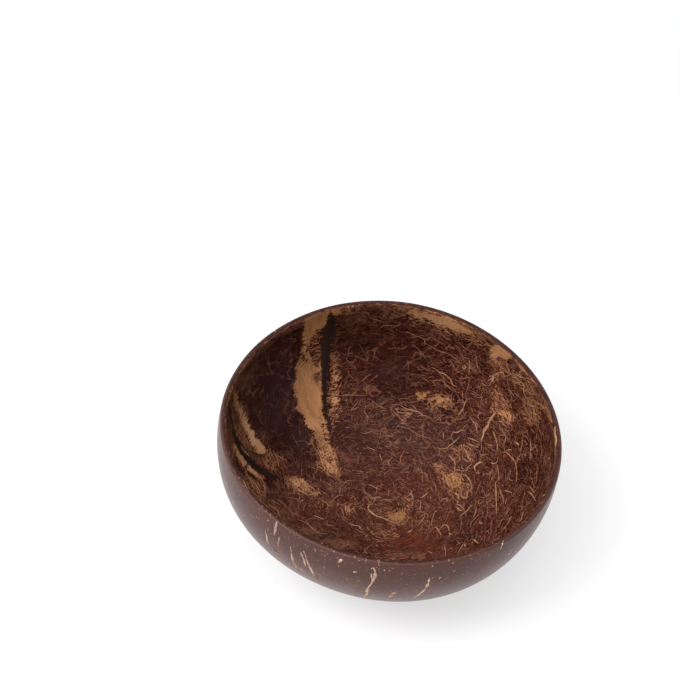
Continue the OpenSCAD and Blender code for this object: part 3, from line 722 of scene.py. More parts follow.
# Long curly hairlines under the fibres: size in millimetres, half width as a share of the pattern,
# seed, colour and strength
HAIRLINES = [
    (7, 0.03, 1, "fibre_dark", 0.8),
    (5, 0.035, 2, "dark", 0.7),
    (9, 0.02, 3, "fibre_dim", 0.6),
]

# Layers of fibres in the inside's colour, from dark gaps over fine dim ones to coarse pale ones:
# seed, then cell, length and width in millimetres, share of the cells with a fibre, the share that
# loose places add, spread of their directions in radians, bend, and the colours they run between
INSIDE_FIBRES = [
    (1, 2.2, 3.0, 0.7, 0.9, 0.0, 2.0, 0.2, "deep", "dark"),
    (2, 1.8, 2.4, 0.42, 0.8, 0.2, 2.0, 0.3, "red", "fibre_dark"),
    (15, 1.3, 1.4, 0.34, 0.9, 0.2, 2.2, 0.4, "red", "fibre_dim"),
    (3, 3.0, 4.0, 0.42, 0.6, 0.2, 2.4, 0.2, "fibre_dark", "fibre_dim"),
    (16, 2.4, 3.4, 0.3, 0.7, 0.3, 1.0, 0.2, "fibre_dark", "fibre_mid"),
    (4, 1.7, 2.6, 0.65, 0.0, 1.0, 1.4, 0.3, "umber", "tan"),
    (5, 2.4, 3.6, 0.6, 0.0, 0.9, 1.6, 0.2, "tan_dark", "tan"),
    (6, 2.2, 2.0, 0.36, 0.26, 0.4, 2.6, 0.3, "fibre_dim", "fibre_mid"),
    (7, 4.2, 4.8, 0.4, 0.34, 0.3, 2.6, 0.16, "fibre_dim", "fibre_mid"),
    (8, 6.5, 8.0, 0.45, 0.2, 0.3, 2.8, 0.08, "fibre_dim", "fibre_pale"),
]

# The same in solid tan: seed, cell, length, width, share and colour
TAN_FIBRES = [
    (9, 1.6, 2.0, 0.3, 0.4, "umber"),
    (10, 2.4, 2.6, 0.3, 0.4, "straw"),
]

# The same in the outside and the rim: seed, cell, length, width, share, spread, strength, colours
OUTSIDE_FIBRES = [
    (11, 3.0, 3.5, 0.4, 0.6, 1.0, 0.7, "outside_dark", "outside"),
    (12, 2.0, 0.7, 0.4, 0.35, 3.0, 0.55, "fibre_dim", "cream_dark"),
    (13, 3.6, 0.8, 0.5, 0.3, 3.0, 0.8, "fibre_mid", "cream_dark"),
    (14, 9.0, 2.2, 0.45, 0.2, 1.2, 0.7, "fibre_dim", "cream_dark"),
]

# Square softboxes over the bowl: place and side in metres, power in watts. They face the lit point
LAMPS = {
    "key_softbox": ((-0.55, -0.25, 0.8), 0.5, 8.0),
    "top_softbox": ((0.0, -0.3, 0.95), 0.7, 6.0),
}
LIT_POINT = Vector((0, 0, 0.03))
ROOM_LIGHT = 0.45

# Half a side of the paper floor in metres, the distances in metres between which the camera sees
# it turn pure white, where the lamps fall off, and the share of white that it has before them
FLOOR_HALF = 3
WHITENING = (0.2, 0.4)
NEAR_WHITE = 0.6

# The camera shows nothing nearer than this
CLIP_START = 10 * MM

# Greater than any distance in pixels
FAR = 1e9

# Quarter turn, for fibres that run down the wall
QUARTER = math.pi / 2

# Short fibres: factors that draw two more random values from a cell's third, the power of their
# taper, the share of their half width that has no soft edge, and the metres by which the pattern of
# each layer is moved for one step of its seed
CURL_FACTOR = 7.3
TONE_FACTOR = 3.7
TAPER_POWER = 3
CORE_SHARE = 0.3
SEED_MOVES = (0.37, 0.61, 0.23)

# Scales along the wrapped place that stretch the grain round the bowl, and down its wall
ROUND_STRETCH = (1, 1, 5)
DOWN_STRETCH = (4, 4, 1)

# Width of the wandering of fibres, and depth of sanding marks and pores with their strength
WANDER_WIDTH = 3 * MM
RELIEF_DEPTH = 0.12 * MM
RELIEF_STRENGTH = 0.5

# Heights between which the outside darkens towards the rim, and the inside's wall turns matt
DARKENING_HEIGHTS = (32 * MM, 50 * MM)
MATT_HEIGHTS = (8 * MM, 24 * MM)

# Gloss, as a specular level: of the outside, of polished dark places, of the floor and of the wall
# of the inside, and of dry fibre. Shell and fibre have an index of refraction like that of wood
OUTSIDE_GLOSS = 0.22
POLISH_GLOSS = 0.16
FLOOR_GLOSS = 0.1
WALL_GLOSS = 0.04
FIBRE_GLOSS = 0.06
IOR = 1.5

# Roughness: of the polished outside, of all else, what tan adds, and of dry fibre
POLISHED_ROUGH = 0.3
SANDED_ROUGH = 0.55
TAN_ROUGH = 0.12
FIBRE_ROUGH = 0.7

# Zones that are stored on the skin, one number to a vertex, and the name of the fibres' node group
ZONES = ("side", "tan", "loose", "black", "warm", "deep", "lively", "stream", "dim", "pale", "brown")
FIBRE_GROUP = "short_fibres"

# Settings of nodes that are used often: a smooth ramp, a mix of colours and a product of colours
SMOOTH = {"interpolation_type": "SMOOTHSTEP"}
BLEND = {"data_type": "RGBA"}
TIMES = {"data_type": "RGBA", "blend_type": "MULTIPLY"}


def linear(text):
    """Turns an sRGB hex colour to linear red, green, blue and alpha."""
    parts = [int(text[i:i + 2], 16) / 255 for i in (1, 3, 5)]
    return tuple(p / 12.92 if p <= 0.04045 else ((p + 0.055) / 1.055) ** 2.4 for p in parts) + (1.0,)


def per(size_mm):
    """Texture scale whose pattern is about this many millimetres across."""
    return 1 / (size_mm * MM)


def add(tree, kind, inputs=(), **settings):
    """Adds a node with its settings, and sets or links its inputs.

    The inputs are given by name, or in order among those that the settings leave in use. A node that
    is given for one stands for its first output in use."""
    node = tree.nodes.new(kind if kind.startswith("NodeGroup") else "ShaderNode" + kind)
    for name, value in settings.items():
        setattr(node, name, value)
    if not isinstance(inputs, dict):
        inputs = dict(zip([k for k, socket in enumerate(node.inputs) if socket.enabled], inputs))
    for key, value in inputs.items():
        if isinstance(value, bpy.types.Node):
            value = next(socket for socket in value.outputs if socket.enabled)
        if isinstance(value, bpy.types.NodeSocket):
            tree.links.new(value, node.inputs[key])
        else:
            node.inputs[key].default_value = value
    return node


def new_material(name):
    """An empty node material, and the function that adds a node to it."""
    material = bpy.data.materials.new(name)
    material.use_nodes = True
    material.node_tree.nodes.clear()
    return material, partial(add, material.node_tree)


def background_rays(new):
    """1 for the rays that show the background: the camera's, and those mirrored or passed on to it."""
    path = new("LightPath").outputs
    shown = path["Is Camera Ray"]
    for name in ("Is Glossy Ray", "Is Transmission Ray"):
        shown = new("Math", (shown, path[name]), operation="MAXIMUM")
    return shown


def camera_axes(view):
    """Eye, right, up and forward of the camera, which looks along +Y and is tipped down."""
    forward = Vector((0, math.cos(view.pitch), -math.sin(view.pitch)))
    up = Vector((0, math.sin(view.pitch), math.cos(view.pitch)))
    return Vector(view.target) - forward * view.distance, Vector((1, 0, 0)), up, forward


def pixel_ray(view, x, y):
    """Start and direction of the sight line through a pixel of the photograph."""
    eye, right, up, forward = camera_axes(view)
    focal = view.lens / SENSOR * FRAME_PIXELS
    half = FRAME_PIXELS / 2
    return eye, (forward + right * ((x - half) / focal) + up * ((half - y) / focal)).normalized()


def to_pixels(view, points):
    """Pixels of the photograph at which points of the frame show."""
    eye, right, up, forward = (np.array(v) for v in camera_axes(view))
    focal = view.lens / SENSOR * FRAME_PIXELS
    half = FRAME_PIXELS / 2
    sight = points - eye
    depth = sight @ forward
    return np.stack([half + focal * (sight @ right) / depth, half - focal * (sight @ up) / depth], 1)


def inside_distance(points, outline):
    """Distance in pixels to a closed outline, positive inside it."""
    corners = np.array(outline, float)
    nearest = np.full(len(points), FAR)
    inside = np.zeros(len(points), bool)
    for a, b in zip(corners, np.roll(corners, -1, 0)):
        along = b - a
        t = np.clip(((points - a) @ along) / (along @ along), 0, 1)
        nearest = np.minimum(nearest, np.linalg.norm(points - a - t[:, None] * along, axis=1))
        # a level side is never crossed, so its slope is of no account
        crosses = (a[1] > points[:, 1]) != (b[1] > points[:, 1])
        slope = along[0] / (along[1] or 1)
        inside ^= crosses & (points[:, 0] < a[0] + (points[:, 1] - a[1]) * slope)
    return np.where(inside, nearest, -nearest)


def stroke_distance(points, stroke):
    """Distance in pixels to the edge of a stroke of changing width, positive inside it."""
    best = np.full(len(points), -FAR)
    for (a, wide_a), (b, wide_b) in zip(stroke, stroke[1:]):
        a = np.array(a, float)
        along = np.array(b, float) - a
        t = np.clip(((points - a) @ along) / (along @ along), 0, 1)
        away = np.linalg.norm(points - a - t[:, None] * along, axis=1)
        best = np.maximum(best, (wide_a + (wide_b - wide_a) * t) / 2 - away)
    return best


def places_strength(points, places):
    """Strength from 0 to 1 of a set of soft round places."""
    total = np.zeros(len(points))
    for middle, reach, strength in places:
        away = np.linalg.norm((points - np.array(middle)) / np.array(reach), axis=1)
        total = np.maximum(total, strength * np.exp(-away ** 2))
    return total


def merged_shell():
    """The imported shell's mesh, its loose triangles joined and paired into quads."""
    bm = bmesh.new()
    bm.from_mesh(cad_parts["shell"].data)
    bmesh.ops.remove_doubles(bm, verts=bm.verts, dist=MERGE_DISTANCE)
    bmesh.ops.join_triangles(bm, faces=bm.faces, angle_face_threshold=JOIN_FACE_ANGLE,
                             angle_shape_threshold=JOIN_SHAPE_ANGLE)
    return bm


def skin_tree():
    """Search tree of the finished skin, which carries the strands."""
    bm = bmesh.new()
    bm.from_mesh(bpy.data.objects["shell_skin"].data)
    tree = BVHTree.FromBMesh(bm)
    bm.free()
    return tree


def finished(obj):
    """Applies an object's modifiers, shades it smooth and links the result."""
    bpy.context.view_layer.update()
    graph = bpy.context.evaluated_depsgraph_get()
    mesh = bpy.data.meshes.new_from_object(obj.evaluated_get(graph))
    name = obj.name
    bpy.data.objects.remove(obj)
    mesh.name = name
    mesh.shade_smooth()
    out = bpy.data.objects.new(name, mesh)
    bpy.context.scene.collection.objects.link(out)
    return out


def store(mesh, name, values):
    """Keeps a number or a vector for each vertex, for the material to read."""
    kind, field = ("FLOAT_VECTOR", "vector") if values.ndim == 2 else ("FLOAT", "value")
    mesh.attributes.new(name, kind, "POINT").data.foreach_set(field, values.astype(np.float32).ravel())


def vertex_arrays(mesh):
    """Places and normals of a mesh's vertices."""
    places = np.zeros(len(mesh.vertices) * 3, np.float32)
    normals = np.zeros(len(mesh.vertices) * 3, np.float32)
    mesh.vertices.foreach_get("co", places)
    mesh.vertices.foreach_get("normal", normals)
    return places.reshape(-1, 3).astype(float), normals.reshape(-1, 3).astype(float)


def mark_grain(mesh, places, normals):
    """Stores each vertex's side of the wall and its place on the wrapped grain.

    Gives its side, and the millimetres along the inner wall from the rim down to it."""
    middle = np.array([-OUTLINE_MIDDLE.x, -OUTLINE_MIDDLE.y, BELLY_HEIGHT])
    to_middle = middle - places
    to_middle /= np.linalg.norm(to_middle, axis=1)[:, None]
    side = 0.5 + 0.5 * (normals * to_middle).sum(1)
    store(mesh, "side", side)

    flat = places[:, :2] - middle[:2]
    turn = np.arctan2(flat[:, 1], flat[:, 0])
    down = np.arctan2(np.linalg.norm(flat, axis=1), middle[2] - places[:, 2])
    wrap = np.stack([np.cos(turn) * BELLY_RADIUS, np.sin(turn) * BELLY_RADIUS, down * HALF_HEIGHT], 1)
    store(mesh, "wrap", wrap)

    # the rim is what is highest in each of many directions
    lots = ((turn + math.pi) / (2 * math.pi) * RIM_STEPS).astype(int) % RIM_STEPS
    highest = np.zeros(RIM_STEPS)
    np.maximum.at(highest, lots, down)
    middles = (np.arange(RIM_STEPS) + 0.5) / RIM_STEPS * 2 * math.pi - math.pi
    rim = np.interp(turn, middles, highest, period=2 * math.pi)
    return side, (rim - down) * HALF_HEIGHT / MM


def mark_zones(mesh, view, places, side, below):
    """Stores how far each vertex is inside the zones that were read off the photograph."""
    pixels = to_pixels(view, places)
    strip = np.clip((EDGE_STRIP - below) / EDGE_STRIP, 0, 1)
    # the paler brown is partly painted sheen at the inside's left edge
    store(mesh, "brown", np.maximum(strip, places_strength(pixels, BROWN_AND_SHEEN_PLACES)))
    px_mm = view.lens / SENSOR * FRAME_PIXELS / (view.distance / MM)
    inner = side > INNER_SIDE
    tan = np.max([np.minimum(inside_distance(pixels, outline) / px_mm, WORN_DEPTH.get(name, MARK_LIMIT))
                  for name, outline in TAN_PATCHES.items()], 0)
    pits = np.max([stroke_distance(pixels, stroke) for stroke in TAN_PITS], 0) / px_mm
    loose = np.max([inside_distance(pixels, outline) for outline in LOOSE_PATCHES.values()], 0) / px_mm
    # the front lines, painted shadow inside the front rim, are part of the rim and hide the wall behind
    # them, at the same pixels
    hidden = places[:, 2] < FRONT_SHADOW_FOOT
    black = np.max([stroke_distance(pixels, stroke) - np.where(hidden & name.startswith("front"), FAR, 0)
                    for name, stroke in BLACK_SEAMS_AND_RIM_SHADOW.items()], 0) / px_mm
    for name, marked, distance in (("tan", side > TAN_SIDE, np.minimum(tan, -pits)), ("loose", inner, loose),
                                   ("black", inner, black)):
        store(mesh, name, np.where(marked, np.clip(distance, -MARK_LIMIT, MARK_LIMIT), -MARK_LIMIT))
    # the reddish places are partly painted light, the almost black ones partly painted shade
    for name, zone in (("warm", WARM_AND_LIT_PLACES), ("deep", DARK_AND_SHADED_PLACES)):
        store(mesh, name, np.where(inner, places_strength(pixels, zone), 0))
    store(mesh, "lively", np.clip(BASE_LIVELY + places_strength(pixels, LIVELY_PLACES)
                                  - places_strength(pixels, QUIET_PLACES), 0, 1))
    # pale lifts the tan partly as painted light, dim darkens fibres and tan partly as painted shade
    for name, zone in (("stream", STREAM_PLACES), ("dim", DIM_AND_SHADED_PLACES), ("pale", PALE_AND_LIT_PLACES)):
        store(mesh, name, places_strength(pixels, zone))


def mark_shell(mesh, view):
    """Stores all that the shell's material reads."""
    places, normals = vertex_arrays(mesh)
    side, below = mark_grain(mesh, places, normals)
    mark_zones(mesh, view, places, side, below)


def fibre_group():
    """Makes the node group that scatters short curved fibres, one to a cell, flat in the surface.

    Mask is 1 on a fibre, Tone is one random value for each. Sizes are in millimetres."""
    tree = bpy.data.node_groups.new(FIBRE_GROUP, "ShaderNodeTree")
    for kind, names in (("Vector", ("Place", "Normal", "Seed")),
                        ("Float", ("Cell", "Length", "Width", "Share", "Spread", "Lean", "Bend"))):
        for name in names:
            tree.interface.new_socket(name, in_out="INPUT", socket_type="NodeSocket" + kind)
    for name in ("Mask", "Tone"):
        tree.interface.new_socket(name, in_out="OUTPUT", socket_type="NodeSocketFloat")
    new = partial(add, tree)
    given = new("NodeGroupInput").outputs

    # the nearest cell: millimetres from its point, its place, and three random values
    place = new("VectorMath", (given["Place"], given["Seed"]), operation="ADD")
    scale = new("Math", (per(1), given["Cell"]), operation="DIVIDE")
    cells = new("TexVoronoi", {"Vector": place, "Scale": scale}, feature="F1").outputs
    off = new("VectorMath", (place, cells["Position"]), operation="SUBTRACT")
    off = new("VectorMath", (off, (per(1),) * 3), operation="MULTIPLY")
    core = new("VectorMath", (cells["Position"], given["Seed"]), operation="SUBTRACT")
    lots = new("SeparateColor", (cells["Color"],)).outputs
    curl_lot = new("Math", (new("Math", (lots[2], CURL_FACTOR), operation="MULTIPLY"),), operation="FRACT")
    tone_lot = new("Math", (new("Math", (lots[2], TONE_FACTOR), operation="MULTIPLY"),), operation="FRACT")

    # axes in the surface: round the bowl and down its wall
    around = new("VectorMath", ((0, 0, 1), core), operation="CROSS_PRODUCT")
    around = new("VectorMath", (around,), operation="NORMALIZE")
    down = new("VectorMath", (around, given["Normal"]), operation="CROSS_PRODUCT")
    flat = new("CombineXYZ", [new("VectorMath", (off, axis), operation="DOT_PRODUCT")
                              for axis in (around, down)])
    angle = new("Math", (lots[0], 0.5), operation="SUBTRACT")
    angle = new("Math", (angle, given["Spread"], given["Lean"]), operation="MULTIPLY_ADD")
    turned = new("VectorRotate", {"Vector": flat, "Angle": angle}, rotation_type="Z_AXIS")
    along, across, _ = new("SeparateXYZ", (turned,)).outputs
    curl = new("Math", (curl_lot, 0.5), operation="SUBTRACT")
    curl = new("Math", (curl, given["Bend"]), operation="MULTIPLY")
    square = new("Math", (along, along), operation="MULTIPLY")
    across = new("Math", (square, curl, across), operation="MULTIPLY_ADD")

    # a tapered line: its half width falls to nothing at its ends
    half_length = new("Math", (given["Length"], 0.5), operation="MULTIPLY")
    reach = new("Math", (new("Math", (along,), operation="ABSOLUTE"), half_length), operation="DIVIDE")
    taper = new("Math", (1, new("Math", (reach, TAPER_POWER), operation="POWER")), operation="SUBTRACT")
    taper = new("Math", (taper, 0), operation="MAXIMUM")
    half = new("Math", (given["Width"], 0.5), operation="MULTIPLY")
    half = new("Math", (half, taper), operation="MULTIPLY")
    core_half = new("Math", (half, CORE_SHARE), operation="MULTIPLY")
    line = new("MapRange", (new("Math", (across,), operation="ABSOLUTE"), half, core_half, 0, 1), **SMOOTH)
    chosen = new("Math", (lots[1], given["Share"]), operation="ADD")
    chosen = new("Math", (chosen, 1), operation="GREATER_THAN")
    new("NodeGroupOutput", (new("Math", (line, chosen), operation="MULTIPLY"), tone_lot))


def shell_marks(new):
    """What the shell's patterns read: the stored zones, and places that are plain, drawn out round the
    bowl, drawn out down its wall, or shifted by about 1 mm for fibres that wander."""
    texture = new("TexCoord").outputs
    place = texture["Object"]
    wrap = new("Attribute", attribute_name="wrap").outputs["Vector"]
    shift = new("TexNoise", {"Vector": place, "Scale": per(5), "Detail": 2, "Roughness": 0.5})
    shift = new("VectorMath", (shift.outputs["Color"], (0.5, 0.5, 0.5)), operation="SUBTRACT")
    return SimpleNamespace(
        place=place, normal=texture["Normal"], height=new("SeparateXYZ", (place,)).outputs["Z"],
        round_grain=new("VectorMath", (wrap, ROUND_STRETCH), operation="MULTIPLY"),
        down_grain=new("VectorMath", (wrap, DOWN_STRETCH), operation="MULTIPLY"),
        wavy=new("VectorMath", (shift, (WANDER_WIDTH,) * 3, place), operation="MULTIPLY_ADD"),
        **{name: new("Attribute", attribute_name=name).outputs["Fac"] for name in ZONES})


def clouds(new, vector, size, detail, rough, low, high, start=0, end=1, distortion=0):
    """Noise about so many millimetres across, spread smoothly from start to end between two levels."""
    pattern = new("TexNoise", {"Vector": vector, "Scale": per(size), "Detail": detail,
                               "Roughness": rough, "Distortion": distortion})
    return new("MapRange", (pattern, low, high, start, end), **SMOOTH)


def curls(new, place, size, thin, seed):
    """Long curly hairlines, broken into lengths. Thin is their half width as a share of the pattern."""
    moved = new("VectorMath", (place, (seed,) * 3), operation="ADD")
    pattern = new("TexNoise", {"Vector": moved, "Scale": per(size), "Detail": 1, "Roughness": 0.5,
                               "Distortion": 0.7})
    level = new("Math", (pattern, 0.5), operation="SUBTRACT")
    level = new("Math", (level,), operation="ABSOLUTE")
    line = new("MapRange", (level, thin * 0.4, thin, 1, 0), **SMOOTH)
    return new("Math", (line, clouds(new, moved, size * 1.3, 2, 0.5, 0.47, 0.55)), operation="MULTIPLY")


def with_fibres(new, marks, below, seed, sizes, share, spread, bend, lean, strength, ends, level=None):
    """A colour with a layer of fibres over it, between two colours and dimmed where a level is given."""
    seed_place = [seed * move for move in SEED_MOVES]
    layer = new("Group", (marks.wavy, marks.normal, seed_place, *sizes, share, spread, lean, bend),
                node_tree=bpy.data.node_groups[FIBRE_GROUP]).outputs
    mask = new("Math", (layer["Mask"], strength), operation="MULTIPLY")
    shade = new("Mix", (layer["Tone"], *ends), **BLEND)
    if level is not None:
        shade = new("Mix", (1, shade, level), **TIMES)
    return new("Mix", (mask, below, shade), **BLEND)


def inside_ground(new, marks, colours):
    """Colour of the inside under its fibres."""
    # broad growth clouds, about 20 mm, from chocolate to brown, reddish and near black by place; the
    # reddish places are partly painted light and the near black ones partly painted shade
    cloud = clouds(new, marks.place, 20, 5, 0.6, 0.35, 0.65)
    inside = new("Mix", (cloud, colours.dark, colours.brown), **BLEND)
    for zone, most, colour in ((marks.warm, 0.8, colours.red), (marks.deep, 0.85, colours.deep)):
        inside = new("Mix", (new("Math", (zone, most), operation="MULTIPLY"), inside, colour), **BLEND)
    # the paler brown strip along the rim and the paler brown clouds, with ragged edges; at the left
    # edge the paler brown is partly painted sheen
    ragged = clouds(new, marks.place, 6, 4, 0.6, 0.3, 0.7, -0.2, 0.2)
    strip = new("Math", (marks.brown, ragged), operation="ADD")
    strip = new("MapRange", (strip, 0.1, 0.7, 0, 0.9), **SMOOTH)
    inside = new("Mix", (strip, inside, colours.edge), **BLEND)
    # pith mottle 1 to 3 mm across, longer round the bowl
    mottle = clouds(new, marks.round_grain, 5, 5, 0.75, 0.3, 0.7, 0.25, 1.55, distortion=0.8)
    inside = new("Mix", (1, inside, mottle), **TIMES)
    # dim curly hairlines, all over but for the tan
    for size, thin, seed, shade, strength in HAIRLINES:
        line = new("Math", (curls(new, marks.place, size, thin, seed), strength), operation="MULTIPLY")
        inside = new("Mix", (line, inside, getattr(colours, shade)), **BLEND)
    return inside


def inside_fibres(new, marks, colours, inside):
    """The inside's colour with its fibres, more of them and brighter where it is lively or loose."""
    # fibres are darkened where dim, partly as painted shade on the shaded walls
    level = new("MapRange", (marks.dim, 0, 1, 1, DIMMEST), **SMOOTH)
    lean = new("Math", (marks.stream, QUARTER), operation="MULTIPLY")
    ragged = clouds(new, marks.place, 5, 3, 0.6, 0.3, 0.7, -1.2, 1.2)
    near_loose = new("Math", (marks.loose, ragged), operation="ADD")
    near_loose = new("MapRange", (near_loose, -1.6, 0.4), **SMOOTH)
    vivid = new("MapRange", (marks.lively, 0, 0.7, 0.35, 1), **SMOOTH)
    vivid = new("Math", (vivid, near_loose), operation="MAXIMUM")
    for seed, cell, length, width, share, loose_share, spread, bend, *shades in INSIDE_FIBRES:
        amount = new("Math", (marks.lively, share), operation="MULTIPLY")
        amount = new("Math", (near_loose, loose_share, amount), operation="MULTIPLY_ADD")
        ends = [getattr(colours, shade) for shade in shades]
        inside = with_fibres(new, marks, inside, seed, (cell, length, width), amount, spread, bend, lean,
                             vivid, ends, level)
    return inside


def inside_bands(new, marks, colours, inside):
    """The inside's colour with its solid tan, its black seams and the painted shadow line inside the
    front rim, and where the tan is.
    """
    # edge made ragged by hairs that lie round the bowl
    edge = new("Math", (clouds(new, marks.round_grain, 3, 4, 0.7, 0.3, 0.7, -0.9, 0.8),
                        clouds(new, marks.place, 5, 4, 0.65, 0.3, 0.7, -0.5, 0.6)), operation="ADD")
    tan_mask = new("MapRange", (new("Math", (marks.tan, edge), operation="ADD"), -0.25, 0.35), **SMOOTH)
    tan = clouds(new, marks.down_grain, 9, 5, 0.7, 0.25, 0.55)
    tan = new("Mix", (tan, colours.tan_dark, colours.tan), **BLEND)
    # tan goes towards straw where pale, partly painted light, and darker where dim, partly painted shade
    tan = new("Mix", (marks.pale, tan, colours.straw), **BLEND)
    tan = new("Mix", (1, tan, new("MapRange", (marks.dim, 0, 1, 1, DIMMEST_TAN), **SMOOTH)), **TIMES)
    inside = new("Mix", (tan_mask, inside, tan), **BLEND)
    faint = new("Math", (tan_mask, 0.4), operation="MULTIPLY")
    for seed, cell, length, width, share, shade in TAN_FIBRES:
        ends = [getattr(colours, shade)] * 2
        inside = with_fibres(new, marks, inside, seed, (cell, length, width), share, 1.2, 0.3, QUARTER,
                             faint, ends)
    # the black seams, with the painted shadow line inside the front rim
    wander = clouds(new, marks.place, 2, 2, 0.5, 0.25, 0.75, -0.5, 0.5)
    seam = new("Math", (marks.black, wander), operation="ADD")
    seam = new("MapRange", (seam, -0.35, 0.35), **SMOOTH)
    return new("Mix", (seam, inside, colours.black), **BLEND), tan_mask


def outside_ground(new, marks, colours):
    """Colour of the outside: brown clouds, faint streaks down the wall and a fine mottle, both partly
    grain and partly painted sheen, darker up to the rim.
    """
    outside = clouds(new, marks.place, 14, 5, 0.65, 0.25, 0.75)
    outside = new("Mix", (outside, colours.outside_dark, colours.outside), **BLEND)
    # streaks down the wall and a fine mottle: partly grain, partly painted sheen
    for mottle in (clouds(new, marks.down_grain, 7, 4, 0.7, 0.3, 0.7, 0.85, 1.15),
                   clouds(new, marks.place, 2.5, 3, 0.7, 0.3, 0.7, 0.86, 1.14)):
        outside = new("Mix", (1, outside, mottle), **TIMES)
    upper = new("MapRange", (marks.height, *DARKENING_HEIGHTS, 0, 0.85), **SMOOTH)
    return new("Mix", (upper, outside, colours.outside_dark), **BLEND)


def whole_colour(new, marks, colours, outside, inside):
    """The outside's face, the cut rim and the inside's face, with wavering borders between them."""
    waver = clouds(new, marks.place, 4, 5, 0.75, 0.3, 0.7, -0.18, 0.18)
    waver = new("Math", (marks.side, waver), operation="ADD")
    cut = clouds(new, marks.place, 3, 5, 0.7, 0.35, 0.7)
    cut = new("Mix", (cut, colours.rim, colours.outside_dark), **BLEND)
    colour = new("Mix", (new("MapRange", (waver, 0.3, 0.6), **SMOOTH), outside, cut), **BLEND)
    # pin flecks and a few short pale fibres
    for seed, cell, length, width, share, spread, strength, *shades in OUTSIDE_FIBRES:
        ends = [getattr(colours, shade) for shade in shades]
        colour = with_fibres(new, marks, colour, seed, (cell, length, width), share, spread, 0.1, QUARTER,
                             strength, ends)
    # painted shadow: a dark line along the rim's inner edge
    line = new("MapRange", (waver, 0.58, 0.68, 0, 0.45), **SMOOTH)
    colour = new("Mix", (line, colour, colours.black), **BLEND)
    return new("Mix", (new("MapRange", (waver, 0.7, 0.8), **SMOOTH), colour, inside), **BLEND)


def shell_material(colours):
    """Coconut shell, sanded and oiled: hard, dense and satin, nearly black to red-brown, with tan
    flecks and short curly fibres flush in its inside and a plainer, greyer outside."""
    material, new = new_material("oiled_coconut_shell")
    fibre_group()
    marks = shell_marks(new)
    inside = inside_fibres(new, marks, colours, inside_ground(new, marks, colours))
    inside, tan_mask = inside_bands(new, marks, colours, inside)
    colour = whole_colour(new, marks, colours, outside_ground(new, marks, colours), inside)

    # sanding marks and pores
    pores = new("TexNoise", {"Vector": marks.round_grain, "Scale": per(2.5), "Detail": 4, "Roughness": 0.7})
    relief = new("Bump", {"Strength": RELIEF_STRENGTH, "Distance": RELIEF_DEPTH, "Height": pores})
    # smooth dark places are polished, fibrous walls are matt, and more so up the wall
    dull = new("MapRange", (marks.side, 0.25, 0.75), **SMOOTH)
    polish = new("MapRange", (marks.lively, 0.05, 0.5, 1, 0), **SMOOTH)
    polish = new("Math", (polish, dull), operation="MULTIPLY")
    gloss = new("Math", (new("MapRange", (marks.height, *MATT_HEIGHTS, FLOOR_GLOSS, WALL_GLOSS), **SMOOTH),
                         new("Math", (polish, POLISH_GLOSS), operation="MULTIPLY")), operation="MAXIMUM")
    gloss = new("Mix", (dull, OUTSIDE_GLOSS, gloss))
    rough = new("MapRange", (marks.side, 0.05, 0.25, POLISHED_ROUGH, SANDED_ROUGH), **SMOOTH)
    rough = new("Math", (tan_mask, TAN_ROUGH, rough), operation="MULTIPLY_ADD")
    skin = new("BsdfPrincipled", {"Base Color": colour, "Roughness": rough, "IOR": IOR,
                                  "Specular IOR Level": gloss, "Normal": relief})
    matt = new("BsdfDiffuse", {"Color": colour, "Normal": relief})
    wall = new("MapRange", (marks.height, *MATT_HEIGHTS, 0.2, 0.8), **SMOOTH)
    wall = new("Math", (dull, wall), operation="MULTIPLY")
    wall = new("Math", (wall, new("Math", (1, polish), operation="SUBTRACT")), operation="MULTIPLY")
    new("OutputMaterial", (new("MixShader", (wall, skin, matt)),))
    return material


def strand_material(name, light, dark):
    """Coir fibre grown into the shell and sanded flush: dry, straw to umber, worn through in places."""
    material, new = new_material(name)
    place = new("TexCoord").outputs["Object"]
    # one tone for about 3 mm of strand, with finer breaks
    tone = new("TexNoise", {"Vector": place, "Scale": per(3), "Detail": 5, "Roughness": 0.8})
    colour = new("Mix", (new("MapRange", (tone, 0.4, 0.56)), dark, light), **BLEND)
    # strands are darkened where dim, partly as painted shade on the shaded walls
    dim = new("Attribute", attribute_name="dim").outputs["Fac"]
    level = new("MapRange", (dim, 0, 1, 1, DIMMEST))
    colour = new("Mix", (1, colour, level), **TIMES)
    skin = new("BsdfPrincipled", {"Base Color": colour, "Roughness": FIBRE_ROUGH, "IOR": IOR,
                                  "Specular IOR Level": FIBRE_GLOSS})
    new("OutputMaterial", (skin,))
    return material


def smooth_path(points, step):
    """Points a step apart along a smooth curve through the given ones."""
    if len(points) == 2:
        points = [points[0], tuple((a + b) / 2 for a, b in zip(*points)), points[1]]
    pts = [Vector(p) for p in points]
    ends = [pts[0] * 2 - pts[1]] + pts + [pts[-1] * 2 - pts[-2]]
    path = []
    for a, b, c, d in zip(ends, ends[1:], ends[2:], ends[3:]):
        count = max(1, round((c - b).length / step))
        for k in range(count):
            t = k / count
            path.append(0.5 * (2 * b + (c - a) * t + (2 * a - 5 * b + 4 * c - d) * t * t
                               + (3 * b - a - 3 * c + d) * t ** 3))
    return path + [pts[-1]]


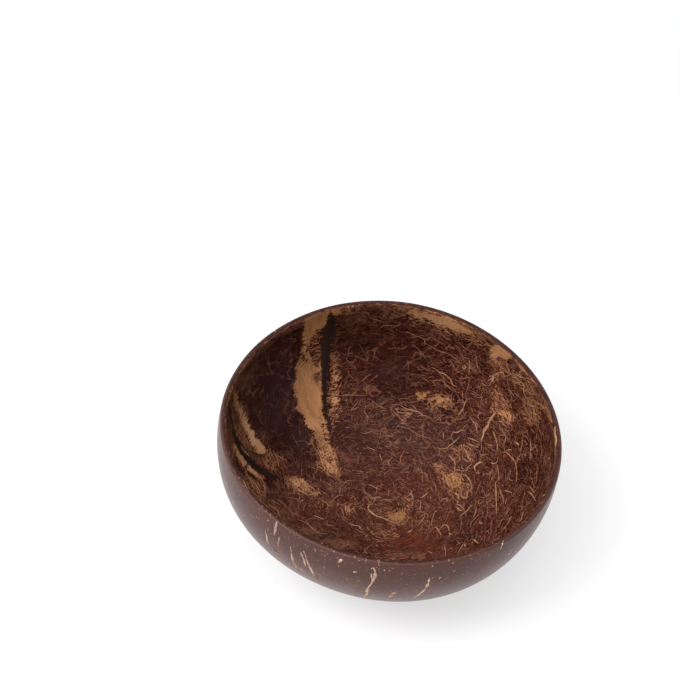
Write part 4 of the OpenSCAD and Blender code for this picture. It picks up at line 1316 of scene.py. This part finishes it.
def lay_strand(bm, path, width, shade):
    """Adds one strand to a mesh: a flattened, tapered tube, half sunk in the surface along its path."""
    last = len(path) - 1
    rings = []
    for k, (place, normal) in enumerate(path):
        ahead = path[min(k + 1, last)][0] - path[max(k - 1, 0)][0]
        half = width / 2 * min(1.0, TIP_SHARE + TIP_GROWTH * min(k, last - k) / last)
        half *= 1 + UNEVEN * noise.noise(place / UNEVEN_LENGTH)
        across = normal.cross(ahead).normalized() * half
        rise = normal * min(half * CREST_SHARE, CREST_LIMIT)
        angles = [2 * math.pi * i / STRAND_SIDES for i in range(STRAND_SIDES)]
        rings.append([bm.verts.new(place + across * math.cos(a) + rise * math.sin(a)) for a in angles])
    faces = [bm.faces.new(rings[0][::-1]), bm.faces.new(rings[-1])]
    for near, far in zip(rings, rings[1:]):
        for i in range(STRAND_SIDES):
            faces.append(bm.faces.new((near[i - 1], near[i], far[i], far[i - 1])))
    slot = list(SHADES).index(shade)
    for face in faces:
        face.material_index = slot
        face.smooth = True


def grow_path(surface, start, heading, bend, steps, step, draw):
    """A wandering path over the surface: heading is 0 round the bowl and a quarter turn down its wall."""
    place, normal = start
    path = []
    for _ in range(steps):
        path.append((place, normal))
        down = Vector((-place.y, place.x, 0)).cross(normal).normalized()
        way = normal.cross(down) * math.cos(heading) + down * math.sin(heading)
        place, normal, _, _ = surface.find_nearest(place + way * step)
        heading += bend + draw.gauss(0, WANDER_SPREAD)
    return path


def trace_strand(bm, surface, view, pixels, width, shade):
    """Adds a strand that runs over the surface along pixels of the photograph."""
    path = []
    for pixel in pixels:
        place, normal, _, _ = surface.ray_cast(*pixel_ray(view, pixel.x, pixel.y))
        if place is None:
            raise RuntimeError(f"pixel {pixel.x:.0f}, {pixel.y:.0f} misses the shell")
        path.append((place, normal))
    lay_strand(bm, path, width, shade)


def strand_object(name, bm, colours, view):
    """Turns laid strands to a piece in the frame, with their shades."""
    mesh = bpy.data.meshes.new(name)
    bm.to_mesh(mesh)
    bm.free()
    for shade, (light, dark) in SHADES.items():
        fibre = shade + "_fibre"
        mesh.materials.append(bpy.data.materials.get(fibre)
                              or strand_material(fibre, getattr(colours, light), getattr(colours, dark)))
    places, _ = vertex_arrays(mesh)
    # dim places, partly painted shade, for the strands' material
    store(mesh, "dim", places_strength(to_pixels(view, places), DIM_AND_SHADED_PLACES))
    obj = bpy.data.objects.new(name, mesh)
    bpy.context.scene.collection.objects.link(obj)
    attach(obj, "root")


def grow_inside(bm, surface, shape, eye, draw):
    """Spreads short curly strands over the inside."""
    middle = Vector((-OUTLINE_MIDDLE.x, -OUTLINE_MIDDLE.y, BELLY_HEIGHT))
    skin = bpy.data.objects["shell_skin"].data
    lively = skin.attributes["lively"].data
    zones = [(skin.attributes[name].data, gap) for name, gap in KEEP_FROM.items()]
    laid = 0
    while laid < shape.strands:
        # a direction from the belly's middle down or out to the wall, even over the sphere
        turn = draw.uniform(0, 2 * math.pi)
        height = draw.uniform(*START_SINES)
        flat = math.sqrt(1 - height * height)
        aim = Vector((flat * math.cos(turn), flat * math.sin(turn), height))
        place, normal, face, _ = surface.ray_cast(middle, aim)
        if place is None:
            continue
        corner = skin.polygons[face].vertices[0]
        if draw.random() > lively[corner].value ** 2:
            continue
        if any(zone[corner].value > -gap for zone, gap in zones):
            continue
        laid += 1
        # it runs round the bowl more often than down the wall
        heading = draw.gauss(0, HEADING_SPREAD) + draw.choice((0, math.pi))
        path = grow_path(surface, (place, normal), heading, draw.gauss(0, BEND_SPREAD),
                         draw.randint(*STRAND_STEPS), shape.strand_step, draw)
        shares = SHOWN_SHARES if path[0][1].dot(eye - path[0][0]) > 0 else HIDDEN_SHARES
        shade = draw.choices(list(shares), list(shares.values()))[0]
        lay_strand(bm, path, shape.strand_width * draw.uniform(*STRAND_WIDTH_SHARES), shade)


def grow_outside(bm, surface, shape, eye, draw):
    """Spreads pale strokes and flecks over what the photograph doesn't show of the outside."""
    laid = 0
    while laid < shape.strokes:
        # outside, where the photograph doesn't show it, from the base's edge up to the rim
        turn = draw.uniform(0, 2 * math.pi)
        around = Vector((math.cos(turn), math.sin(turn), 0))
        height = draw.uniform(*START_HEIGHT_SHARES) * BELLY_HEIGHT
        start = around * 2 * BELLY_RADIUS + Vector((0, 0, height))
        place, normal, _, _ = surface.ray_cast(start, -around)
        if place is None or normal.dot(eye - place) > 0:
            continue
        laid += 1
        # long strokes run down the wall, flecks lie anyhow
        if draw.random() < STROKE_SHARE:
            heading = draw.gauss(QUARTER, STROKE_HEADING_SPREAD)
            path = grow_path(surface, (place, normal), heading, draw.gauss(0, STROKE_BEND_SPREAD),
                             draw.randint(*STROKE_STEPS), shape.strand_step, draw)
            lay_strand(bm, path, draw.uniform(*STROKE_WIDTHS) * MM, "cream")
        else:
            path = grow_path(surface, (place, normal), draw.uniform(0, math.pi), 0, FLECK_STEPS,
                             FLECK_STEP, draw)
            lay_strand(bm, path, draw.uniform(*FLECK_WIDTHS) * MM, "fleck")


def add_camera(scene):
    """Makes the camera of the photograph, and shows colours as they are."""
    view = scene.bowl_view
    eye, right, up, forward = camera_axes(view)
    camera = bpy.data.objects.new("camera", bpy.data.cameras.new("camera"))
    camera.data.lens = view.lens
    camera.data.sensor_width = SENSOR
    camera.data.clip_start = CLIP_START
    camera.matrix_world = Matrix.Translation(eye) @ Matrix((right, up, -forward)).transposed().to_4x4()
    scene.collection.objects.link(camera)
    scene.camera = camera
    scene.view_settings.view_transform = "Standard"


def add_floor(scene):
    """Makes the white floor."""
    bm = bmesh.new()
    bmesh.ops.create_grid(bm, x_segments=1, y_segments=1, size=FLOOR_HALF)
    mesh = bpy.data.meshes.new("floor")
    bm.to_mesh(mesh)
    bm.free()
    floor = bpy.data.objects.new("floor", mesh)
    scene.collection.objects.link(floor)
    # matt white paper; what the camera sees of it is lifted towards pure white
    material, new = new_material("white_paper")
    paper = new("BsdfDiffuse", {"Color": scene.bowl_colours.paper})
    glow = new("Emission", {"Color": (1, 1, 1, 1), "Strength": 1.0})
    away = new("VectorMath", (new("TexCoord").outputs["Object"],), operation="LENGTH")
    away = new("MapRange", (away, *WHITENING, NEAR_WHITE, 1))
    share = new("Math", (background_rays(new), away), operation="MULTIPLY")
    new("OutputMaterial", (new("MixShader", (share, paper, glow)),))
    mesh.materials.append(material)


def add_world(scene):
    """Makes the white room, dimmer as a lamp than as a background."""
    world = bpy.data.worlds.new("white_room")
    world.use_nodes = True
    world.node_tree.nodes.clear()
    new = partial(add, world.node_tree)
    level = new("MapRange", (background_rays(new), 0, 1, ROOM_LIGHT, 1))
    new("OutputWorld", (new("Background", {"Color": (1, 1, 1, 1), "Strength": level}),))
    scene.world = world


def add_lamps(scene):
    """Makes the softboxes."""
    for name, (place, size, power) in LAMPS.items():
        light = bpy.data.lights.new(name, "AREA")
        light.size = size
        light.energy = power
        lamp = bpy.data.objects.new(name, light)
        lamp.location = place
        lamp.rotation_euler = (LIT_POINT - Vector(place)).to_track_quat("-Z", "Y").to_euler()
        scene.collection.objects.link(lamp)


def colour_setting(name, text, description):
    """A colour that can be changed, with its default as sRGB hex."""
    return bpy.props.FloatVectorProperty(name=name, description=description, default=linear(text),
                                         subtype="COLOR", size=4, min=0, max=1)


class BowlColours(bpy.types.PropertyGroup):
    """Colours of the shell, its fibres and the floor."""
    dark: colour_setting("Dark", "#2b110d", "Darkest clouds of the inside")
    brown: colour_setting("Brown", "#3b1a12", "Lighter clouds of the inside")
    # the red-brown and near black places are partly painted light and painted shade
    red: colour_setting("Red-brown", "#552719", "Reddish places of the inside")
    deep: colour_setting("Near black", "#251110", "Almost black places of the inside")
    # its paler clouds at the inside's left edge are partly painted sheen
    edge: colour_setting("Edge", "#6a4434", "Strip of the inside along the rim, and its paler clouds")
    # also the painted shadow line along the inner edge of the rim
    black: colour_setting("Seam", "#291b17", "Black line along each seam")
    tan: colour_setting("Tan", "#a2724b", "Bands beside the seams")
    tan_dark: colour_setting("Dark tan", "#7b5136", "Darker grain in the bands")
    # also painted light, lifting the tan of the shaded left wall
    straw: colour_setting("Straw", "#c3946d", "Palest grain in the bands")
    umber: colour_setting("Umber", "#71422b", "Fibres within the bands")
    fibre_pale: colour_setting("Pale fibre", "#a67d5e", "Palest strands of the inside")
    fibre_mid: colour_setting("Middle fibre", "#8c5f48", "Middling strands")
    fibre_dim: colour_setting("Dim fibre", "#6e4838", "Dim strands")
    fibre_dark: colour_setting("Dark fibre", "#4c2e25", "Dimmest strands")
    cream: colour_setting("Cream", "#c6aa96", "Palest strands of the outside")
    cream_dark: colour_setting("Worn cream", "#9c7a66", "Worn parts of those")
    outside: colour_setting("Outside", "#643b32", "Outside of the shell")
    outside_dark: colour_setting("Outside grain", "#462a25", "Darker outside grain")
    rim: colour_setting("Rim", "#2d1d1b", "Cut and rounded edge")
    paper: colour_setting("Paper", "#f4f4f4", "Matt floor under the bowl")


class BowlShape(bpy.types.PropertyGroup):
    """How finely the skin is built and how its strands are spread."""
    smoothing: bpy.props.IntProperty(
        name="Smoothing", description="Times the skin is subdivided", default=2, min=0, max=3)
    strands: bpy.props.IntProperty(
        name="Strands", description="Strands grown over the inside", default=900, min=0)
    strokes: bpy.props.IntProperty(
        name="Strokes", description="Pale strokes and flecks grown over the hidden outside",
        default=110, min=0)
    strand_width: bpy.props.FloatProperty(
        name="Strand width", description="Mean width of a strand", default=0.26 * MM,
        subtype="DISTANCE", unit="LENGTH")
    strand_step: bpy.props.FloatProperty(
        name="Strand step", description="Length between two bends of a strand", default=0.8 * MM,
        subtype="DISTANCE", unit="LENGTH")
    seed: bpy.props.IntProperty(name="Seed", description="Start of the random draws", default=7)


class BowlView(bpy.types.PropertyGroup):
    """Camera that shows the bowl as in the photograph."""
    lens: bpy.props.FloatProperty(
        name="Lens", description="Focal length in millimetres", default=70)
    pitch: bpy.props.FloatProperty(
        name="Pitch", description="How far the camera is tipped down", default=0.751, subtype="ANGLE")
    distance: bpy.props.FloatProperty(
        name="Distance", description="From the eye to the point looked at", default=0.5574,
        subtype="DISTANCE", unit="LENGTH")
    target: bpy.props.FloatVectorProperty(
        name="Target", description="Point at the middle of the picture", default=(-0.01806, 0.07331, 0.0258),
        subtype="XYZ", unit="LENGTH")


class BOWL_OT_stage(bpy.types.Operator):
    """Makes the floor, the lights, the world and the camera"""
    bl_idname = "bowl.stage"
    bl_label = "Stage"

    def execute(self, context):
        add_camera(context.scene)
        add_floor(context.scene)
        add_world(context.scene)
        add_lamps(context.scene)
        return {"FINISHED"}


class BOWL_OT_shell(bpy.types.Operator):
    """Makes the shell's smooth skin with its seams, bands and clouds of colour"""
    bl_idname = "bowl.shell"
    bl_label = "Shell"

    def execute(self, context):
        scene = context.scene
        bm = merged_shell()
        mesh = bpy.data.meshes.new("shell_skin")
        bm.to_mesh(mesh)
        bm.free()
        obj = bpy.data.objects.new("shell_skin", mesh)
        scene.collection.objects.link(obj)
        rounding = obj.modifiers.new("rounding", "SUBSURF")
        rounding.levels = scene.bowl_shape.smoothing
        rounding.render_levels = scene.bowl_shape.smoothing
        skin = finished(obj)
        mark_shell(skin.data, scene.bowl_view)
        skin.data.materials.append(shell_material(scene.bowl_colours))
        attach(skin, "root")
        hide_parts("shell")
        return {"FINISHED"}


class BOWL_OT_traced_strands(bpy.types.Operator):
    """Lays the strands that stand out in the photograph on the inside and the outside"""
    bl_idname = "bowl.traced_strands"
    bl_label = "Traced strands"

    def execute(self, context):
        scene = context.scene
        view = scene.bowl_view
        surface = skin_tree()
        for name, strands, flecks, fleck_shade in (("inner_strands", INNER_STRANDS, INNER_FLECKS, "straw"),
                                                   ("outer_strands", OUTER_STRANDS, OUTER_FLECKS, "fleck")):
            bm = bmesh.new()
            for (shade, width), paths in strands.items():
                for pixels in paths:
                    path = smooth_path([(x, y, 0) for x, y in pixels], TRACE_PIXELS)
                    trace_strand(bm, surface, view, path, width * MM, shade)
            for x, y, width in flecks:
                across = Vector((width * FLECK_PIXELS, 0, 0))
                middle = Vector((x, y, 0))
                trace_strand(bm, surface, view, [middle - across, middle, middle + across], width * MM,
                             fleck_shade)
            strand_object(name, bm, scene.bowl_colours, view)
        return {"FINISHED"}


class BOWL_OT_grown_strands(bpy.types.Operator):
    """Spreads short curly strands over the inside, and pale strokes over the hidden outside"""
    bl_idname = "bowl.grown_strands"
    bl_label = "Grown strands"

    def execute(self, context):
        scene = context.scene
        surface = skin_tree()
        draw = random.Random(scene.bowl_shape.seed)
        eye = camera_axes(scene.bowl_view)[0]
        bm = bmesh.new()
        grow_inside(bm, surface, scene.bowl_shape, eye, draw)
        grow_outside(bm, surface, scene.bowl_shape, eye, draw)
        strand_object("grown_strands", bm, scene.bowl_colours, scene.bowl_view)
        return {"FINISHED"}


class BOWL_PT_panel(bpy.types.Panel):
    """Lists the bowl's pieces and their settings"""
    bl_idname = "BOWL_PT_panel"
    bl_label = "Coconut shell bowl"
    bl_space_type = "VIEW_3D"
    bl_region_type = "UI"
    bl_category = "Bowl"

    def draw(self, context):
        layout = self.layout
        for name in OPERATORS:
            layout.operator(name)
        for group in (context.scene.bowl_shape, context.scene.bowl_colours, context.scene.bowl_view):
            for name in group.__annotations__:
                layout.prop(group, name)


OPERATORS = ("bowl.stage", "bowl.shell", "bowl.traced_strands", "bowl.grown_strands")
CLASSES = (BowlColours, BowlShape, BowlView, BOWL_OT_stage, BOWL_OT_shell, BOWL_OT_traced_strands,
           BOWL_OT_grown_strands, BOWL_PT_panel)


def register():
    for cls in CLASSES:
        bpy.utils.register_class(cls)
    bpy.types.Scene.bowl_colours = bpy.props.PointerProperty(type=BowlColours)
    bpy.types.Scene.bowl_shape = bpy.props.PointerProperty(type=BowlShape)
    bpy.types.Scene.bowl_view = bpy.props.PointerProperty(type=BowlView)


def unregister():
    del bpy.types.Scene.bowl_view
    del bpy.types.Scene.bowl_shape
    del bpy.types.Scene.bowl_colours
    for cls in reversed(CLASSES):
        bpy.utils.unregister_class(cls)


def main():
    register()
    bpy.ops.bowl.stage()
    bpy.ops.bowl.shell()
    bpy.ops.bowl.traced_strands()
    bpy.ops.bowl.grown_strands()


if __name__ == "__main__":
    main()
